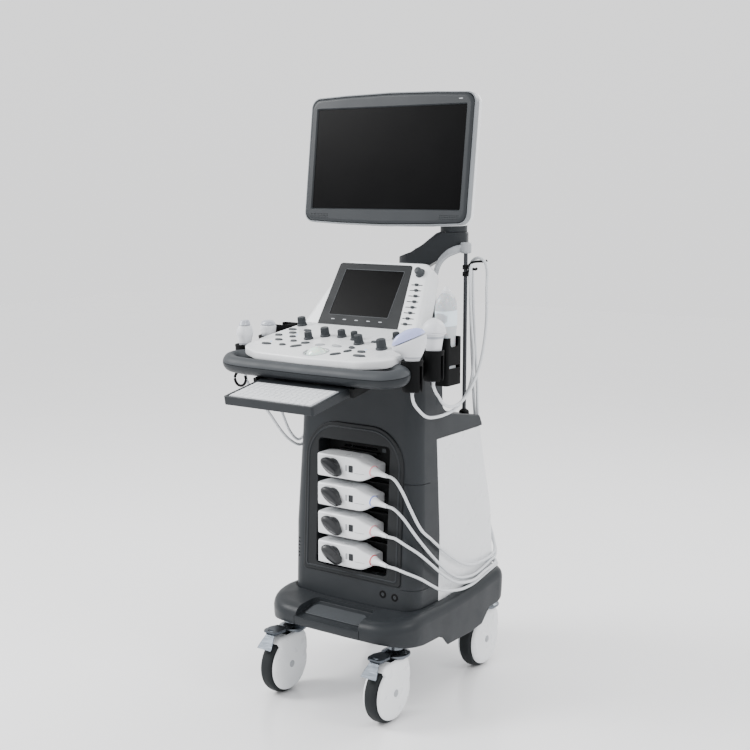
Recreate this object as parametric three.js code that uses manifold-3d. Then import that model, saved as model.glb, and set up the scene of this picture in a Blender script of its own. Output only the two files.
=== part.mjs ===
// Trolley ultrasound scanner, front towards -Y, +Z up, millimetres.
// Origin: on the floor, under the middle of the machine's footprint.
import * as THREE from 'three';
import { mergeVertices } from 'three/addons/utils/BufferGeometryUtils.js';
import Module from 'manifold-3d';

const wasm = await Module();
wasm.setup();

// ---------------------------------------------------------------- driving dimensions
const GAP = 0.4;                      // clearance between pieces that touch
const WALL = 4;                       // moulded cover thickness

const WHEEL_R = 75;                   // 150 mm casters
const WHEEL_W = 32;
const TRACK_HALF = 158;
const FRONT_AXLE_Y = -135;
const REAR_AXLE_Y = 295;
const TRAIL = 38;                     // swivel axis behind the wheel axle
const HEAD_Z = 153;                   // underside of the fixed swivel heads

const BASE = { half: 215, front: -170, rear: 362, pocketZ: 238 };
const CABINET = { bottom: 252, seamY: 46, corner: 38, panelTop: 657 };
const NECK_HALF = 178;

const CONSOLE_TILT = THREE.MathUtils.degToRad(10);
const CONSOLE = { y: -100, z: 902.2 };    // a point of the panel's top plane, x = 0
const PANEL_T = 20;
const TRAY_TRAVEL = 190;
const TRAY_TOP = -60;

const FACE_TILT = THREE.MathUtils.degToRad(34.5);
const FACE = { y: 63, z: 999 };           // a point of the touch housing's face, x = 0

const PORT = { half: 107, bottom: 326, top: 645, pitch: 74, first: 584, depth: 46 };
const FRONT_SLOPE = THREE.MathUtils.degToRad(2.8);

const MONITOR = { x: 18, y: 69, z: 1329, w: 432, h: 243 };
const MONITOR_TILT = THREE.MathUtils.degToRad(-7);
const ARM_BASE = { x: 0, y: 214 };
const ELBOW = { x: 100, y: 246 };
const NECK = { x: 18, y: 168 };           // vertical axis of the monitor's own swivel

const HOLDER_X = 245;
const CUP_YS = [-163, -75, -14];
const POLE = { x: 150, y: 222 };

// ---------------------------------------------------------------- materials
const finish = (color, roughness, metalness = 0) =>
  new THREE.MeshStandardMaterial({ color, roughness, metalness });
const CHARCOAL = finish(0x46494b, 0.45);
const DARK = finish(0x2b2d2f, 0.6);
const BLACK = finish(0x151617, 0.7);
const GREY = finish(0x66696b, 0.5);
const LIGHT_GREY = finish(0xb9bcbe, 0.45);
const WHITE = finish(0xf0f1f2, 0.35);
const GLASS_BLACK = finish(0x08090a, 0.15);
const STEEL = finish(0x9aa0a6, 0.3, 0.9);
const RUBBER = finish(0x3c4043, 0.85);
const BALL = finish(0xdfeee6, 0.2);
const LILAC_WHITE = finish(0xe6e6ee, 0.4);
const CABLE = finish(0xe8e9ea, 0.5);
const TRANSLUCENT = finish(0xe4e7e8, 0.3);

// ---------------------------------------------------------------- geometry helpers
const V2 = (x, y) => new THREE.Vector2(x, y);
const V3 = (x, y, z) => new THREE.Vector3(x, y, z);

// Polygon whose corners are [x, y, radius]; round corners become short arcs.
function outline(corners, steps = 5) {
  const points = [];
  corners.forEach(([x, y, r = 0], i) => {
    const before = corners[(i + corners.length - 1) % corners.length];
    const after = corners[(i + 1) % corners.length];
    const a = V2(before[0] - x, before[1] - y).normalize();
    const b = V2(after[0] - x, after[1] - y).normalize();
    const half = Math.acos(THREE.MathUtils.clamp(a.dot(b), -1, 1)) / 2;
    if (r < 0.01 || half > 1.55) {
      points.push(V2(x, y));
      return;
    }
    const reach = r / Math.tan(half);
    const centre = a.clone().add(b).normalize().multiplyScalar(r / Math.sin(half)).add(V2(x, y));
    const from = a.multiplyScalar(reach).add(V2(x, y)).sub(centre);
    const to = b.multiplyScalar(reach).add(V2(x, y)).sub(centre);
    const start = Math.atan2(from.y, from.x);
    let sweep = Math.atan2(to.y, to.x) - start;
    if (sweep > Math.PI) sweep -= 2 * Math.PI;
    if (sweep < -Math.PI) sweep += 2 * Math.PI;
    for (let k = 0; k <= steps; k += 1) {
      const angle = start + (sweep * k) / steps;
      points.push(V2(centre.x + r * Math.cos(angle), centre.y + r * Math.sin(angle)));
    }
  });
  return points;
}

const roundedRect = (x0, y0, x1, y1, r, steps) =>
  outline([[x0, y0, r], [x1, y0, r], [x1, y1, r], [x0, y1, r]], steps);

const ellipse = (cx, cy, rx, ry, sides, turn = 0) =>
  new THREE.EllipseCurve(cx, cy, rx, ry, 0, 2 * Math.PI, false, turn).getPoints(sides).slice(0, -1);

// Straight extrusions of an outline along one axis, edges bevelled inwards.
function extrude(points, from, to, bevel, basis) {
  const geometry = new THREE.ExtrudeGeometry(new THREE.Shape(points), {
    depth: to - from - 2 * bevel,
    bevelEnabled: bevel > 0,
    bevelThickness: bevel,
    bevelSize: bevel,
    bevelOffset: -bevel,
    bevelSegments: bevel > 3 ? 2 : 1,
    steps: 1,
    curveSegments: 6,
  });
  geometry.translate(0, 0, from + bevel);
  if (basis) geometry.applyMatrix4(basis);
  return geometry;
}
const ALONG_X = new THREE.Matrix4().makeBasis(V3(0, 1, 0), V3(0, 0, 1), V3(1, 0, 0));
const ALONG_MINUS_Y = new THREE.Matrix4().makeBasis(V3(1, 0, 0), V3(0, 0, 1), V3(0, -1, 0));
const extrudeX = (pointsYZ, x0, x1, bevel = 0) => extrude(pointsYZ, x0, x1, bevel, ALONG_X);
const extrudeY = (pointsXZ, y0, y1, bevel = 0) => extrude(pointsXZ, -y1, -y0, bevel, ALONG_MINUS_Y);
const extrudeZ = (pointsXY, z0, z1, bevel = 0) => extrude(pointsXY, z0, z1, bevel);

const box = (x0, x1, y0, y1, z0, z1) => {
  const geometry = new THREE.BoxGeometry(x1 - x0, y1 - y0, z1 - z0);
  return geometry.translate((x0 + x1) / 2, (y0 + y1) / 2, (z0 + z1) / 2);
};

const turned = (profile, sides) =>
  new THREE.LatheGeometry(profile.map(([r, h]) => V2(r, h)), sides);   // axis = Y
const turnedZ = (profile, sides) => turned(profile, sides).rotateX(Math.PI / 2);
const turnedX = (profile, sides) => turned(profile, sides).rotateZ(-Math.PI / 2);
const cylinderZ = (x, y, r, z0, z1, sides = 24) =>
  turnedZ([[0, z0], [r, z0], [r, z1], [0, z1]], sides).translate(x, y, 0);

// Skin over a stack of closed loops, both ends capped.
function loft(rings) {
  const n = rings[0].length;
  const positions = rings.flat().flatMap((p) => [p.x, p.y, p.z]);
  const index = [];
  for (let k = 0; k + 1 < rings.length; k += 1) {
    for (let i = 0; i < n; i += 1) {
      const j = (i + 1) % n;
      const [a, b, c, d] = [k * n + i, k * n + j, (k + 1) * n + j, (k + 1) * n + i];
      index.push(a, b, c, a, c, d);
    }
  }
  const cap = (k, along) => {
    const flat = rings[k].map((p) => V2(p.x, p.y));
    const wanted = Math.sign(THREE.ShapeUtils.area(flat)) * along;
    THREE.ShapeUtils.triangulateShape(flat, []).forEach(([a, b, c]) => {
      const turn = Math.sign(THREE.ShapeUtils.area([flat[a], flat[b], flat[c]]));
      const face = turn === wanted ? [a, b, c] : [a, c, b];
      index.push(...face.map((v) => k * n + v));
    });
  };
  cap(0, -1);
  cap(rings.length - 1, 1);
  const geometry = new THREE.BufferGeometry();
  geometry.setAttribute('position', new THREE.Float32BufferAttribute(positions, 3));
  geometry.setIndex(index);
  return geometry;
}

// ---------------------------------------------------------------- booleans
function toSolid(geometry) {
  const bare = geometry.clone();
  bare.deleteAttribute('normal');
  if (bare.hasAttribute('uv')) bare.deleteAttribute('uv');
  const merged = mergeVertices(bare, 1e-3);
  const corners = merged.index.array;
  const triangles = [];
  for (let i = 0; i < corners.length; i += 3) {
    const [a, b, c] = [corners[i], corners[i + 1], corners[i + 2]];
    if (a !== b && b !== c && c !== a) triangles.push(a, b, c);
  }
  const build = (order) => new wasm.Manifold(new wasm.Mesh({
    numProp: 3,
    vertProperties: new Float32Array(merged.attributes.position.array),
    triVerts: new Uint32Array(order),
  }));
  const solid = build(triangles);
  if (solid.volume() > 0) return solid;
  const flipped = [];
  for (let i = 0; i < triangles.length; i += 3) {
    flipped.push(triangles[i], triangles[i + 2], triangles[i + 1]);
  }
  return build(flipped);
}

function toGeometry(solid) {
  const mesh = solid.getMesh();
  const geometry = new THREE.BufferGeometry();
  geometry.setAttribute('position', new THREE.BufferAttribute(new Float32Array(mesh.vertProperties), 3));
  geometry.setIndex(Array.from(mesh.triVerts));
  geometry.computeVertexNormals();
  return geometry;
}

const union = (...parts) => toGeometry(parts.map(toSolid).reduce((a, b) => a.add(b)));
const cut = (body, ...tools) => toGeometry(tools.map(toSolid).reduce((a, b) => a.subtract(b), toSolid(body)));
const common = (a, b) => toGeometry(toSolid(a).intersect(toSolid(b)));

// ---------------------------------------------------------------- frames of reference
const scanner = new THREE.Group();
function part(parent, name, geometry, material) {
  const mesh = new THREE.Mesh(toGeometry(toSolid(geometry)), material);
  mesh.name = name;
  parent.add(mesh);
  return mesh;
}

// Console frame: x right, y up the slope, z square to the panel, 0 on its top plane.
const consoleGroup = new THREE.Group();
consoleGroup.position.set(0, CONSOLE.y, CONSOLE.z);
consoleGroup.rotation.x = CONSOLE_TILT;
scanner.add(consoleGroup);
const consoleMatrix = new THREE.Matrix4()
  .makeRotationX(CONSOLE_TILT)
  .setPosition(0, CONSOLE.y, CONSOLE.z);
const slopeS = (y) => (y - CONSOLE.y) / Math.cos(CONSOLE_TILT);
// Everything above height h over the panel plane, as a block in the scanner's frame.
const aboveConsole = (h) => box(-400, 400, -400, 500, h, h + 400).applyMatrix4(consoleMatrix);
const belowConsole = (h) => box(-400, 400, -400, 500, h - 500, h).applyMatrix4(consoleMatrix);

// ---------------------------------------------------------------- casters
function casterHood() {
  const r = WHEEL_R - 8;
  const points = [];
  for (let deg = 128; deg <= 372; deg += 20.3) {
    const a = THREE.MathUtils.degToRad(deg);
    points.push(V2(r * Math.cos(a) - TRAIL, WHEEL_R + r * Math.sin(a)));
  }
  points.push(V2(r - TRAIL + 1, 120), V2(r - TRAIL - 4, HEAD_Z - GAP), V2(-34 - TRAIL, HEAD_Z - GAP));
  points.push(V2(-42 - TRAIL, 143));
  const shell = extrudeX(points, -27, 27, 3);
  const slot = WHEEL_W / 2 + 2;
  const pocket = turnedX([[0, -slot], [WHEEL_R + 3, -slot], [WHEEL_R + 3, slot], [0, slot]], 20)
    .translate(0, -TRAIL, WHEEL_R);
  const axle = turnedX([[0, -22], [6, -22], [6, 22], [0, 22]], 8).translate(0, -TRAIL, WHEEL_R);
  return union(cut(shell, pocket), axle);
}

function casterWheel() {
  const half = WHEEL_W / 2;
  const profile = [
    [6 + GAP, -half], [70, -half], [WHEEL_R, -half + 5], [WHEEL_R, half - 5], [70, half],
    [6 + GAP, half], [6 + GAP, -half],
  ];
  return turnedX(profile, 24);
}

function brakePedal() {
  const side = [[-112, 130], [-117, 134], [-84, 163], [-95, 166], [-95, 171], [-62, 171], [-43, 166],
    [-43, 159], [-74, 160.5]].map(([y, z]) => V2(y, z));
  return extrudeX(side, -22, 22, 1.5);
}

const casters = [
  ['front_left', -TRACK_HALF, FRONT_AXLE_Y],
  ['front_right', TRACK_HALF, FRONT_AXLE_Y],
  ['rear_left', -TRACK_HALF, REAR_AXLE_Y],
  ['rear_right', TRACK_HALF, REAR_AXLE_Y],
];
casters.forEach(([name, x, axleY]) => {
  const group = new THREE.Group();
  group.position.set(x, axleY + TRAIL, 0);
  scanner.add(group);
  part(group, `caster_hood_${name}`, casterHood(), WHITE);
  part(group, `caster_wheel_${name}`, casterWheel(), RUBBER).position.set(0, -TRAIL, WHEEL_R);
  if (axleY < 0) part(group, `brake_pedal_${name}`, brakePedal(), STEEL);
});

// ---------------------------------------------------------------- base cover
// Heights of the deck and of the skirt's lower edge, as functions of y.
const interpolate = (table) => (y) => {
  const last = table.length - 1;
  if (y <= table[0][0]) return table[0][1];
  if (y >= table[last][0]) return table[last][1];
  const k = table.findIndex(([at]) => at > y) - 1;
  const [[y0, z0], [y1, z1]] = [table[k], table[k + 1]];
  return z0 + ((z1 - z0) * (y - y0)) / (y1 - y0);
};
const deckZ = interpolate([
  [-170, 240], [-130, 248], [-60, 254], [60, 254], [140, 258], [240, 267], [320, 275], [362, 272],
]);
const skirtZ = interpolate([
  [-170, 196], [-120, 183], [-60, 176], [11, 174], [30, 166], [54, 142], [164, 141], [220, 146],
  [240, 164], [258, 180], [300, 182], [362, 196],
]);
const ceilingZ = interpolate([
  [-170, 208], [-151, 206], [-90, 214], [-50, 238], [60, 242], [240, 254], [320, 262], [362, 260],
]);

function baseCover() {
  const sideYs = [-60, -10, 11, 30, 54, 110, 164, 220, 240, 258, 300];
  const plan = outline([
    [-BASE.half + 6, BASE.front + 14, 95], [-60, BASE.front, 0], [60, BASE.front, 0],
    [BASE.half - 6, BASE.front + 14, 95], ...sideYs.map((y) => [BASE.half, y]),
    [BASE.half, BASE.rear, 58], [-BASE.half, BASE.rear, 58],
    ...sideYs.map((y) => [-BASE.half, y]).reverse(),
  ], 5);
  const centre = V2(0, 100);
  const inset = (p, d) => {
    const toCentre = centre.clone().sub(p);
    return p.clone().add(toCentre.multiplyScalar(d / toCentre.length()));
  };
  const ring = (d, z) => plan.map((p) => {
    const q = inset(p, d);
    return V3(q.x, q.y, z(p.y));
  });
  const inward = (share, z) => plan.map((p) => {
    const q = p.clone().lerp(centre, share);
    return V3(q.x, q.y, z(q.y));
  });
  return loft([
    inward(0.8, deckZ), ring(34, deckZ), ring(14, (y) => deckZ(y) - 5),
    ring(4, (y) => deckZ(y) - 15), ring(0, (y) => deckZ(y) - 30), ring(2, skirtZ),
    ring(8, skirtZ), ring(10, (y) => ceilingZ(y) - 6), ring(40, ceilingZ), inward(0.8, ceilingZ),
  ]);
}

const halfWidth = interpolate([[250, 187], [420, 190], [657, 180], [760, 178]]);
const cabinetFront = (z) => -64 + (z - 250) * Math.tan(FRONT_SLOPE);
const cabinetRear = interpolate([[250, 334], [449, 312], [657, 268]]);
const pocket = (z0, z1) => extrudeZ(outline([
  [-190, cabinetFront(250) - 2, 38], [190, cabinetFront(250) - 2, 38],
  [190, 337, 26], [-190, 337, 26],
], 4), z0, z1);

// The foot step between the two front lobes is a shallow well, open to the front.
const stepWell = common(
  extrudeX([V2(-300, 206), V2(-151, 218), V2(-84, 235), V2(-84, 400), V2(-300, 400)], -200, 200),
  extrudeZ(outline([[-98, -300], [98, -300], [92, -80, 24], [-92, -80, 24]], 3), 100, 500),
);
part(scanner, 'base_cover', cut(baseCover(), pocket(212, 400), stepWell), CHARCOAL);

// ---------------------------------------------------------------- chassis
const consoleBottom = -95;
function chassis() {
  const deck = box(-165, 165, -104, 345, 186, 206);
  const heads = casters.flatMap(([, x, axleY]) => [
    cylinderZ(x, axleY + TRAIL, 36, HEAD_Z, 165, 24),
    cylinderZ(x, axleY + TRAIL, 18, 160, 195, 16),
  ]);
  const columns = [-1, 1].map((side) => box(side * 120 - 20, side * 120 + 20, 12, 62, 200, 900));
  const brace = box(-110, 110, 18, 56, 690, 720);
  return cut(union(deck, ...heads, ...columns, brace), aboveConsole(consoleBottom - GAP));
}
part(scanner, 'chassis_frame', chassis(), STEEL);
part(scanner, 'electronics_module', box(-135, 135, 128, 268, 240, 600), STEEL);

// ---------------------------------------------------------------- cabinet covers
const LEVELS = [BASE.pocketZ + 2, 420, CABINET.panelTop, 760, 900];

function frontCover() {
  const ring = (z) => {
    const w = halfWidth(z);
    const f = cabinetFront(Math.min(z, 760)) - 0.06 * Math.max(0, z - 760);
    const path = (d, steps) => outline([
      [w - d, CABINET.seamY], [w - d, f + d, CABINET.corner - d],
      [-w + d, f + d, CABINET.corner - d], [-w + d, CABINET.seamY],
    ], steps);
    const outer = path(0, 5);
    const inner = path(WALL, 5).reverse();
    return [...outer, ...inner].map((p) => V3(p.x, p.y, z));
  };
  return loft(LEVELS.map(ring));
}

// Port opening: straight sides, high round shoulders.
const arch = (grow) => outline([
  [-147 - grow, 306 - grow, 8], [147 + grow, 306 - grow, 8],
  [147 + grow, 690 + grow, 96 + grow], [-147 - grow, 690 + grow, 96 + grow],
], 6);
const facePlane = new THREE.Matrix4()
  .makeTranslation(0, cabinetFront(490), 490)
  .multiply(new THREE.Matrix4().makeRotationX(-FRONT_SLOPE))
  .multiply(new THREE.Matrix4().makeTranslation(0, 0, -490));
const onFace = (geometry) => geometry.applyMatrix4(facePlane);

part(scanner, 'front_cover', cut(
  frontCover(), onFace(extrudeY(arch(GAP), -30, 40)), aboveConsole(consoleBottom - GAP),
), CHARCOAL);

const { half: pw, bottom: pb, top: pt, depth: pd } = PORT;
const portBezel = cut(
  union(
    onFace(extrudeY(arch(0), -4, 6, 3)),
    onFace(extrudeY(roundedRect(-pw - 4, pb - 4, pw + 4, pt + 4, 14, 4), 0, pd)),
  ),
  onFace(extrudeY(roundedRect(-pw, pb, pw, pt, 10, 4), -30, pd + 10)),
);
part(scanner, 'port_bezel', portBezel, DARK);

const slot = (z) => box(-58, 42, -30, 60, z - 3, z + 3);
const portPanel = cut(
  onFace(extrudeY(roundedRect(-pw + GAP, pb + GAP, pw - GAP, pt - GAP, 11, 3), pd - 8, pd - 2)), slot(626),
);
part(scanner, 'port_panel', portPanel, BLACK);

function sidePanel(side) {
  const ring = (z) => {
    const w = halfWidth(z);
    const b = cabinetRear(z);
    const path = (d) => outline([
      [w - d, CABINET.seamY + 1], [w - d, b - d, 26 - d], [w - 44, b - d],
    ], 4);
    return [...path(0), ...path(WALL).reverse()].map((p) => V3(side * p.x, p.y, z));
  };
  return loft([CABINET.bottom - 10, 449, CABINET.panelTop - GAP].map(ring));
}
part(scanner, 'side_panel_right', sidePanel(1), WHITE);
part(scanner, 'side_panel_left', sidePanel(-1), WHITE);

const rearRing = (z) => {
  const w = halfWidth(z) - 44.5;
  const b = cabinetRear(z) - 0.5;
  return [V3(-w, b - WALL, z), V3(w, b - WALL, z), V3(w, b, z), V3(-w, b, z)];
};
part(scanner, 'rear_cover', loft([CABINET.bottom - 10, 449, CABINET.panelTop - GAP].map(rearRing)), GREY);

const shoulderSide = outline([
  [30, 640], [272, 640], [268, 664], [256, 685], [101, 714, 20], [78, 732, 14],
  [70, 900], [30, 900],
], 3);
function shoulderCover() {
  const inside = outline([
    [20, 630], [264, 630], [262, 662], [252, 680], [98, 709, 18], [74, 727, 12],
    [66, 910], [20, 910],
  ], 3);
  const shell = cut(extrudeX(shoulderSide, -NECK_HALF, NECK_HALF, 5), extrudeX(inside, -174, 174));
  return cut(shell, box(-300, 300, -50, CABINET.seamY + 1, 500, 1000),
    box(-300, 300, -50, 400, 500, CABINET.panelTop), aboveConsole(consoleBottom - GAP));
}
part(scanner, 'shoulder_cover', shoulderCover(), CHARCOAL);

// ---------------------------------------------------------------- connectors and levers
const connectorZ = [0, 1, 2, 3].map((k) => PORT.first - k * PORT.pitch);
const reliefTip = V3(118, -74, -4);
const plugRear = (z) => cabinetFront(z - 30) + pd - 9;
function connector(z) {
  const front = outline([
    [-92, -28, 6], [20, -28.5], [44, -27, 8], [68, -12, 6], [68, 13, 6], [40, 20, 10],
    [12, 28.5, 8], [-92, 28.5, 6],
  ], 2);
  const body = extrudeY(front, -76, plugRear(z), 2);
  const relief = turned([[0, 0], [13, 0], [11, 8], [6.6, 30], [5, 51], [0, 51]], 10);
  const heading = new THREE.Quaternion().setFromUnitVectors(
    V3(0, 1, 0), reliefTip.clone().sub(V3(67, -62, 0)).normalize(),
  );
  relief.applyQuaternion(heading).translate(67, -62, 0);
  return union(body, relief);
}
function lever() {
  const leaf = ellipse(0, 0, 33, 17, 12);
  const grip = extrude(leaf, 4, 21, 3).applyMatrix4(ALONG_MINUS_Y).rotateY(THREE.MathUtils.degToRad(30));
  const collar = turned([[0, 0], [21, 0], [21, 5], [0, 5]], 12).rotateX(Math.PI);
  return union(grip, collar);
}
connectorZ.forEach((z, k) => {
  part(scanner, `connector_${k + 1}`, connector(z), WHITE).position.z = z;
  part(scanner, `connector_lever_${k + 1}`, lever(), GREY).position.set(-43, -76 - GAP, z);
});

// ---------------------------------------------------------------- console
const ballCentre = V3(0, slopeS(-196), -15);
const BALL_R = 28;
const ballSocket = (r) => new THREE.SphereGeometry(r, 16, 10).translate(...ballCentre);

const panelOutline = (d) => outline([
  [-150, slopeS(-240) + d, 60], [0, slopeS(-247) + d, 200], [150, slopeS(-240) + d, 60],
  [218 - d, slopeS(-205), 40], [217 - d, slopeS(-120)], [192 - d, slopeS(34)],
  [-192 + d, slopeS(34)], [-217 + d, slopeS(-120)], [-218 + d, slopeS(-205), 40],
], 4);

function consoleBase() {
  const at = (w, front, corner, h) => outline([
    [-w, slopeS(front), corner], [w, slopeS(front), corner], [w, slopeS(70), 10],
    [140, slopeS(168), 20], [60, slopeS(256), 30], [-60, slopeS(256), 30], [-140, slopeS(168), 20],
    [-w, slopeS(70), 10],
  ], 3).map((p) => V3(p.x, p.y, h));
  const body = loft([at(176, -66, 36, consoleBottom), at(180, -120, 40, -82), at(184, -190, 50, -56),
    at(186, -214, 56, -27)]);
  const riser = extrudeZ(outline([
    [-188, slopeS(35)], [188, slopeS(35)], [184, slopeS(70), 10], [140, slopeS(168), 20],
    [60, slopeS(256), 30], [-60, slopeS(256), 30], [-140, slopeS(168), 20], [-184, slopeS(70), 10],
  ], 3), -40, -0.5);
  const slotEnd = slopeS(-200) + TRAY_TRAVEL + 4;
  const traySlot = box(-131, 131, slopeS(-400), slotEnd, TRAY_TOP - 23, TRAY_TOP + 4);
  // The slot's floor is open between the two rails that carry the tray.
  const slotFloor = box(-112, 112, slopeS(-400), slotEnd, consoleBottom - 5, TRAY_TOP - 20);
  const pedestal = cylinderZ(ARM_BASE.x, ARM_BASE.y, 38, 900, 1036 - GAP, 24)
    .applyMatrix4(consoleMatrix.clone().invert());
  return cut(union(body, riser, pedestal), traySlot, slotFloor, ballSocket(BALL_R + 1.5));
}
part(consoleGroup, 'console_base', consoleBase(), CHARCOAL);

const ringPath = new THREE.CatmullRomCurve3([
  [-186, -182], [-214, -187], [-238, -200], [-245, -218], [-226, -240], [-180, -249], [-90, -251],
  [0, -252], [90, -251], [180, -249], [226, -240], [245, -218], [238, -200], [214, -187], [186, -182],
].map(([x, y]) => V3(x, slopeS(y), -35)));
function handleRing() {
  const section = new THREE.Shape(ellipse(0, 0, 19.5, 20, 10));
  const tube = new THREE.ExtrudeGeometry(section, { extrudePath: ringPath, steps: 34 });
  const cupNotches = [-1, 1].map((side) => (
    cylinderZ(side * HOLDER_X, CUP_YS[0], 25, 700, 950, 14).applyMatrix4(consoleMatrix.clone().invert())
  ));
  return cut(tube, ...cupNotches, extrudeZ(panelOutline(-GAP), -PANEL_T - GAP, 20),
    extrudeZ(roundedRect(-190, slopeS(-226), 190, 100, 34, 3), -90, -10));
}
part(consoleGroup, 'handle_ring', handleRing(), GREY);

// Oval keys either side of the trackball and in an arc round it: [x, y, half length, turn].
const KEYS = [
  [-166, -176, 14, 0], [-157, -140, 11, 0], [-185, -106, 11, 0], [-119, -173, 9, 0],
  [-182, -55, 12, 0], [-161, -81, 11, 0], [-139, -109, 9, 0], [-111, -140, 9, 0],
  [-77, -174, 14, 0.7], [-70, -147, 11, 0.3], [-136, -54, 11, 0],
  [69, -150, 10, -0.4], [76, -176, 10, 0.9], [61, -203, 13, 0.7],
  [112, -172, 11, 0], [126, -200, 17, 0], [96, -96, 10, 0], [123, -112, 10, 0],
];
const keyOutline = ([x, y, half, turn], grow) => ellipse(0, 0, half + grow, 5.5 + grow, 8)
  .map((p) => p.rotateAround(V2(0, 0), turn).add(V2(x, slopeS(y))));
// The keys stand on a silicone mat, in two windows of the panel joined under it at the back.
const windowOutline = (side, d) => outline(side < 0 ? [
  [-188 + d, slopeS(-190) + d, 8], [-52 - d, slopeS(-190) + d, 8], [-52 - d, slopeS(-132) - d, 8],
  [-98 - d, slopeS(-132) - d], [-98 - d, slopeS(-42) - d, 8], [-204 + d, slopeS(-42) - d, 8],
] : [
  [36 + d, slopeS(-218) + d, 8], [148 - d, slopeS(-218) + d, 8], [148 - d, slopeS(-165), 8],
  [118 - d, slopeS(-156)], [144 - d, slopeS(-100)], [144 - d, slopeS(-84) - d, 6],
  [84 + d, slopeS(-84) - d, 6], [84 + d, slopeS(-136) - d], [56 + d, slopeS(-134) - d, 4],
  [56 + d, slopeS(-186), 4],
], 2);
const MAT_DROP = 2;
function keypad() {
  const bridgeOutline = roundedRect(-190, slopeS(-96), 130, slopeS(-50), 6, 2);
  const pads = [-1, 1].flatMap((side) => [
    extrudeZ(windowOutline(side, 0.6), -19.5, -MAT_DROP),
    common(extrudeZ(windowOutline(side, 0.6), -23, -MAT_DROP), extrudeZ(bridgeOutline, -23, 0)),
  ]);
  const caps = KEYS.map((key) => extrudeZ(keyOutline(key, 0), -4, 2.5));
  return union(...pads, extrudeZ(bridgeOutline, -23, -20.6), ...caps);
}
part(consoleGroup, 'control_panel', cut(
  extrudeZ(panelOutline(0), -PANEL_T, 0, 3), ballSocket(BALL_R),
  extrudeZ(windowOutline(-1, 0), -60, 20), extrudeZ(windowOutline(1, 0), -60, 20),
), WHITE);
part(consoleGroup, 'keypad', keypad(), GREY);
part(consoleGroup, 'trackball', new THREE.SphereGeometry(BALL_R - 1.4, 18, 12), BALL)
  .position.copy(ballCentre);

const knob = (r, h) => turnedZ([[0, 0], [r, 0], [r - 2, 4], [r - 3, h], [0, h]], 12);
[
  ['knob_rear_left', -182, -17, 13, 22], ['knob_left', -85, -115, 12, 18],
  ['knob_centre', -58, -84, 13, 22], ['knob_right', 66, -118, 13, 22], ['knob_far_right', 146, -140, 14, 24],
].forEach(([name, x, y, r, h]) => {
  part(consoleGroup, name, knob(r, h), GREY).position.set(x, slopeS(y), GAP);
});

// ---------------------------------------------------------------- keyboard tray
const trayFront = slopeS(-376 + TRAY_TOP * Math.sin(CONSOLE_TILT));
const trayRear = slopeS(-200);
function keyboardTray() {
  const plate = extrudeZ(roundedRect(-128, trayFront, 128, trayRear, 5, 2), TRAY_TOP - 20, TRAY_TOP, 1.5);
  const recess = box(-121, 121, trayFront + 6, slopeS(-274), TRAY_TOP - 4, 0);
  return cut(plate, recess);
}
part(consoleGroup, 'keyboard_tray', keyboardTray(), CHARCOAL);
part(consoleGroup, 'keyboard', extrudeZ(
  roundedRect(-119, trayFront + 8, 119, slopeS(-276), 3, 2), TRAY_TOP - 4 + GAP, TRAY_TOP + 1, 1,
), WHITE);

// ---------------------------------------------------------------- touch housing
const faceGroup = new THREE.Group();
faceGroup.position.set(0, FACE.y, FACE.z);
faceGroup.rotation.x = Math.PI / 2 - FACE_TILT;
scanner.add(faceGroup);
const faceMatrix = new THREE.Matrix4()
  .makeRotationX(Math.PI / 2 - FACE_TILT)
  .setPosition(0, FACE.y, FACE.z);
const faceInverse = faceMatrix.clone().invert();

// In the face's own frame: x right, y up the face, z out of it.
const touchOutline = (d) => outline([
  [-208 + d, -112], [150 - d, -112], [115 - d, 96 - d, 22], [-141 + d, 96 - d, 22],
], 3);
const touchBezel = (d) => outline([
  [-154 - d, -100 - d, 8], [89 + d, -100 - d, 8], [66 + d, 84 + d, 8], [-154 - d, 84 + d, 8],
], 2);
function touchHousing() {
  const shell = extrudeZ(touchOutline(0), -58, 0, 5);
  const hollow = extrudeZ(touchOutline(WALL + 3), -52, -WALL - 4);
  const pocketCut = extrudeZ(touchBezel(GAP), -7, 10);
  const belowPanel = box(-400, 400, -400, 500, -400, GAP)
    .applyMatrix4(consoleMatrix).applyMatrix4(faceInverse);
  return cut(shell, hollow, pocketCut, belowPanel);
}
part(faceGroup, 'touch_housing', touchHousing(), WHITE);
part(faceGroup, 'touch_screen', cut(
  extrudeZ(touchBezel(0), -6.5, 1, 1),
  box(-400, 400, -400, 500, -400, GAP).applyMatrix4(consoleMatrix).applyMatrix4(faceInverse),
), GLASS_BLACK);

// ---------------------------------------------------------------- monitor arm
function lowerArm() {
  const reach = V3(ELBOW.x - ARM_BASE.x, ELBOW.y - ARM_BASE.y, 0).length();
  const side = outline([[-36, 1036], [0, 1036], [reach, 1096, 20], [reach + 36, 1104], [reach + 36, 1148],
    [reach - 20, 1148, 20], [0, 1096, 20], [-36, 1084]], 3);
  const beam = extrude(side, -36, 36, 5, ALONG_MINUS_Y);
  const plan = extrudeZ(outline([
    [-37, -37, 36], [reach + 37, -37, 36], [reach + 37, 37, 36], [-37, 37, 36],
  ], 5), 900, 1300);
  return common(beam, plan);
}
const armGroup = new THREE.Group();
armGroup.position.set(ARM_BASE.x, ARM_BASE.y, 0);
armGroup.rotation.z = Math.atan2(ELBOW.y - ARM_BASE.y, ELBOW.x - ARM_BASE.x);
scanner.add(armGroup);
part(armGroup, 'monitor_arm_lower', lowerArm(), CHARCOAL);

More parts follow.
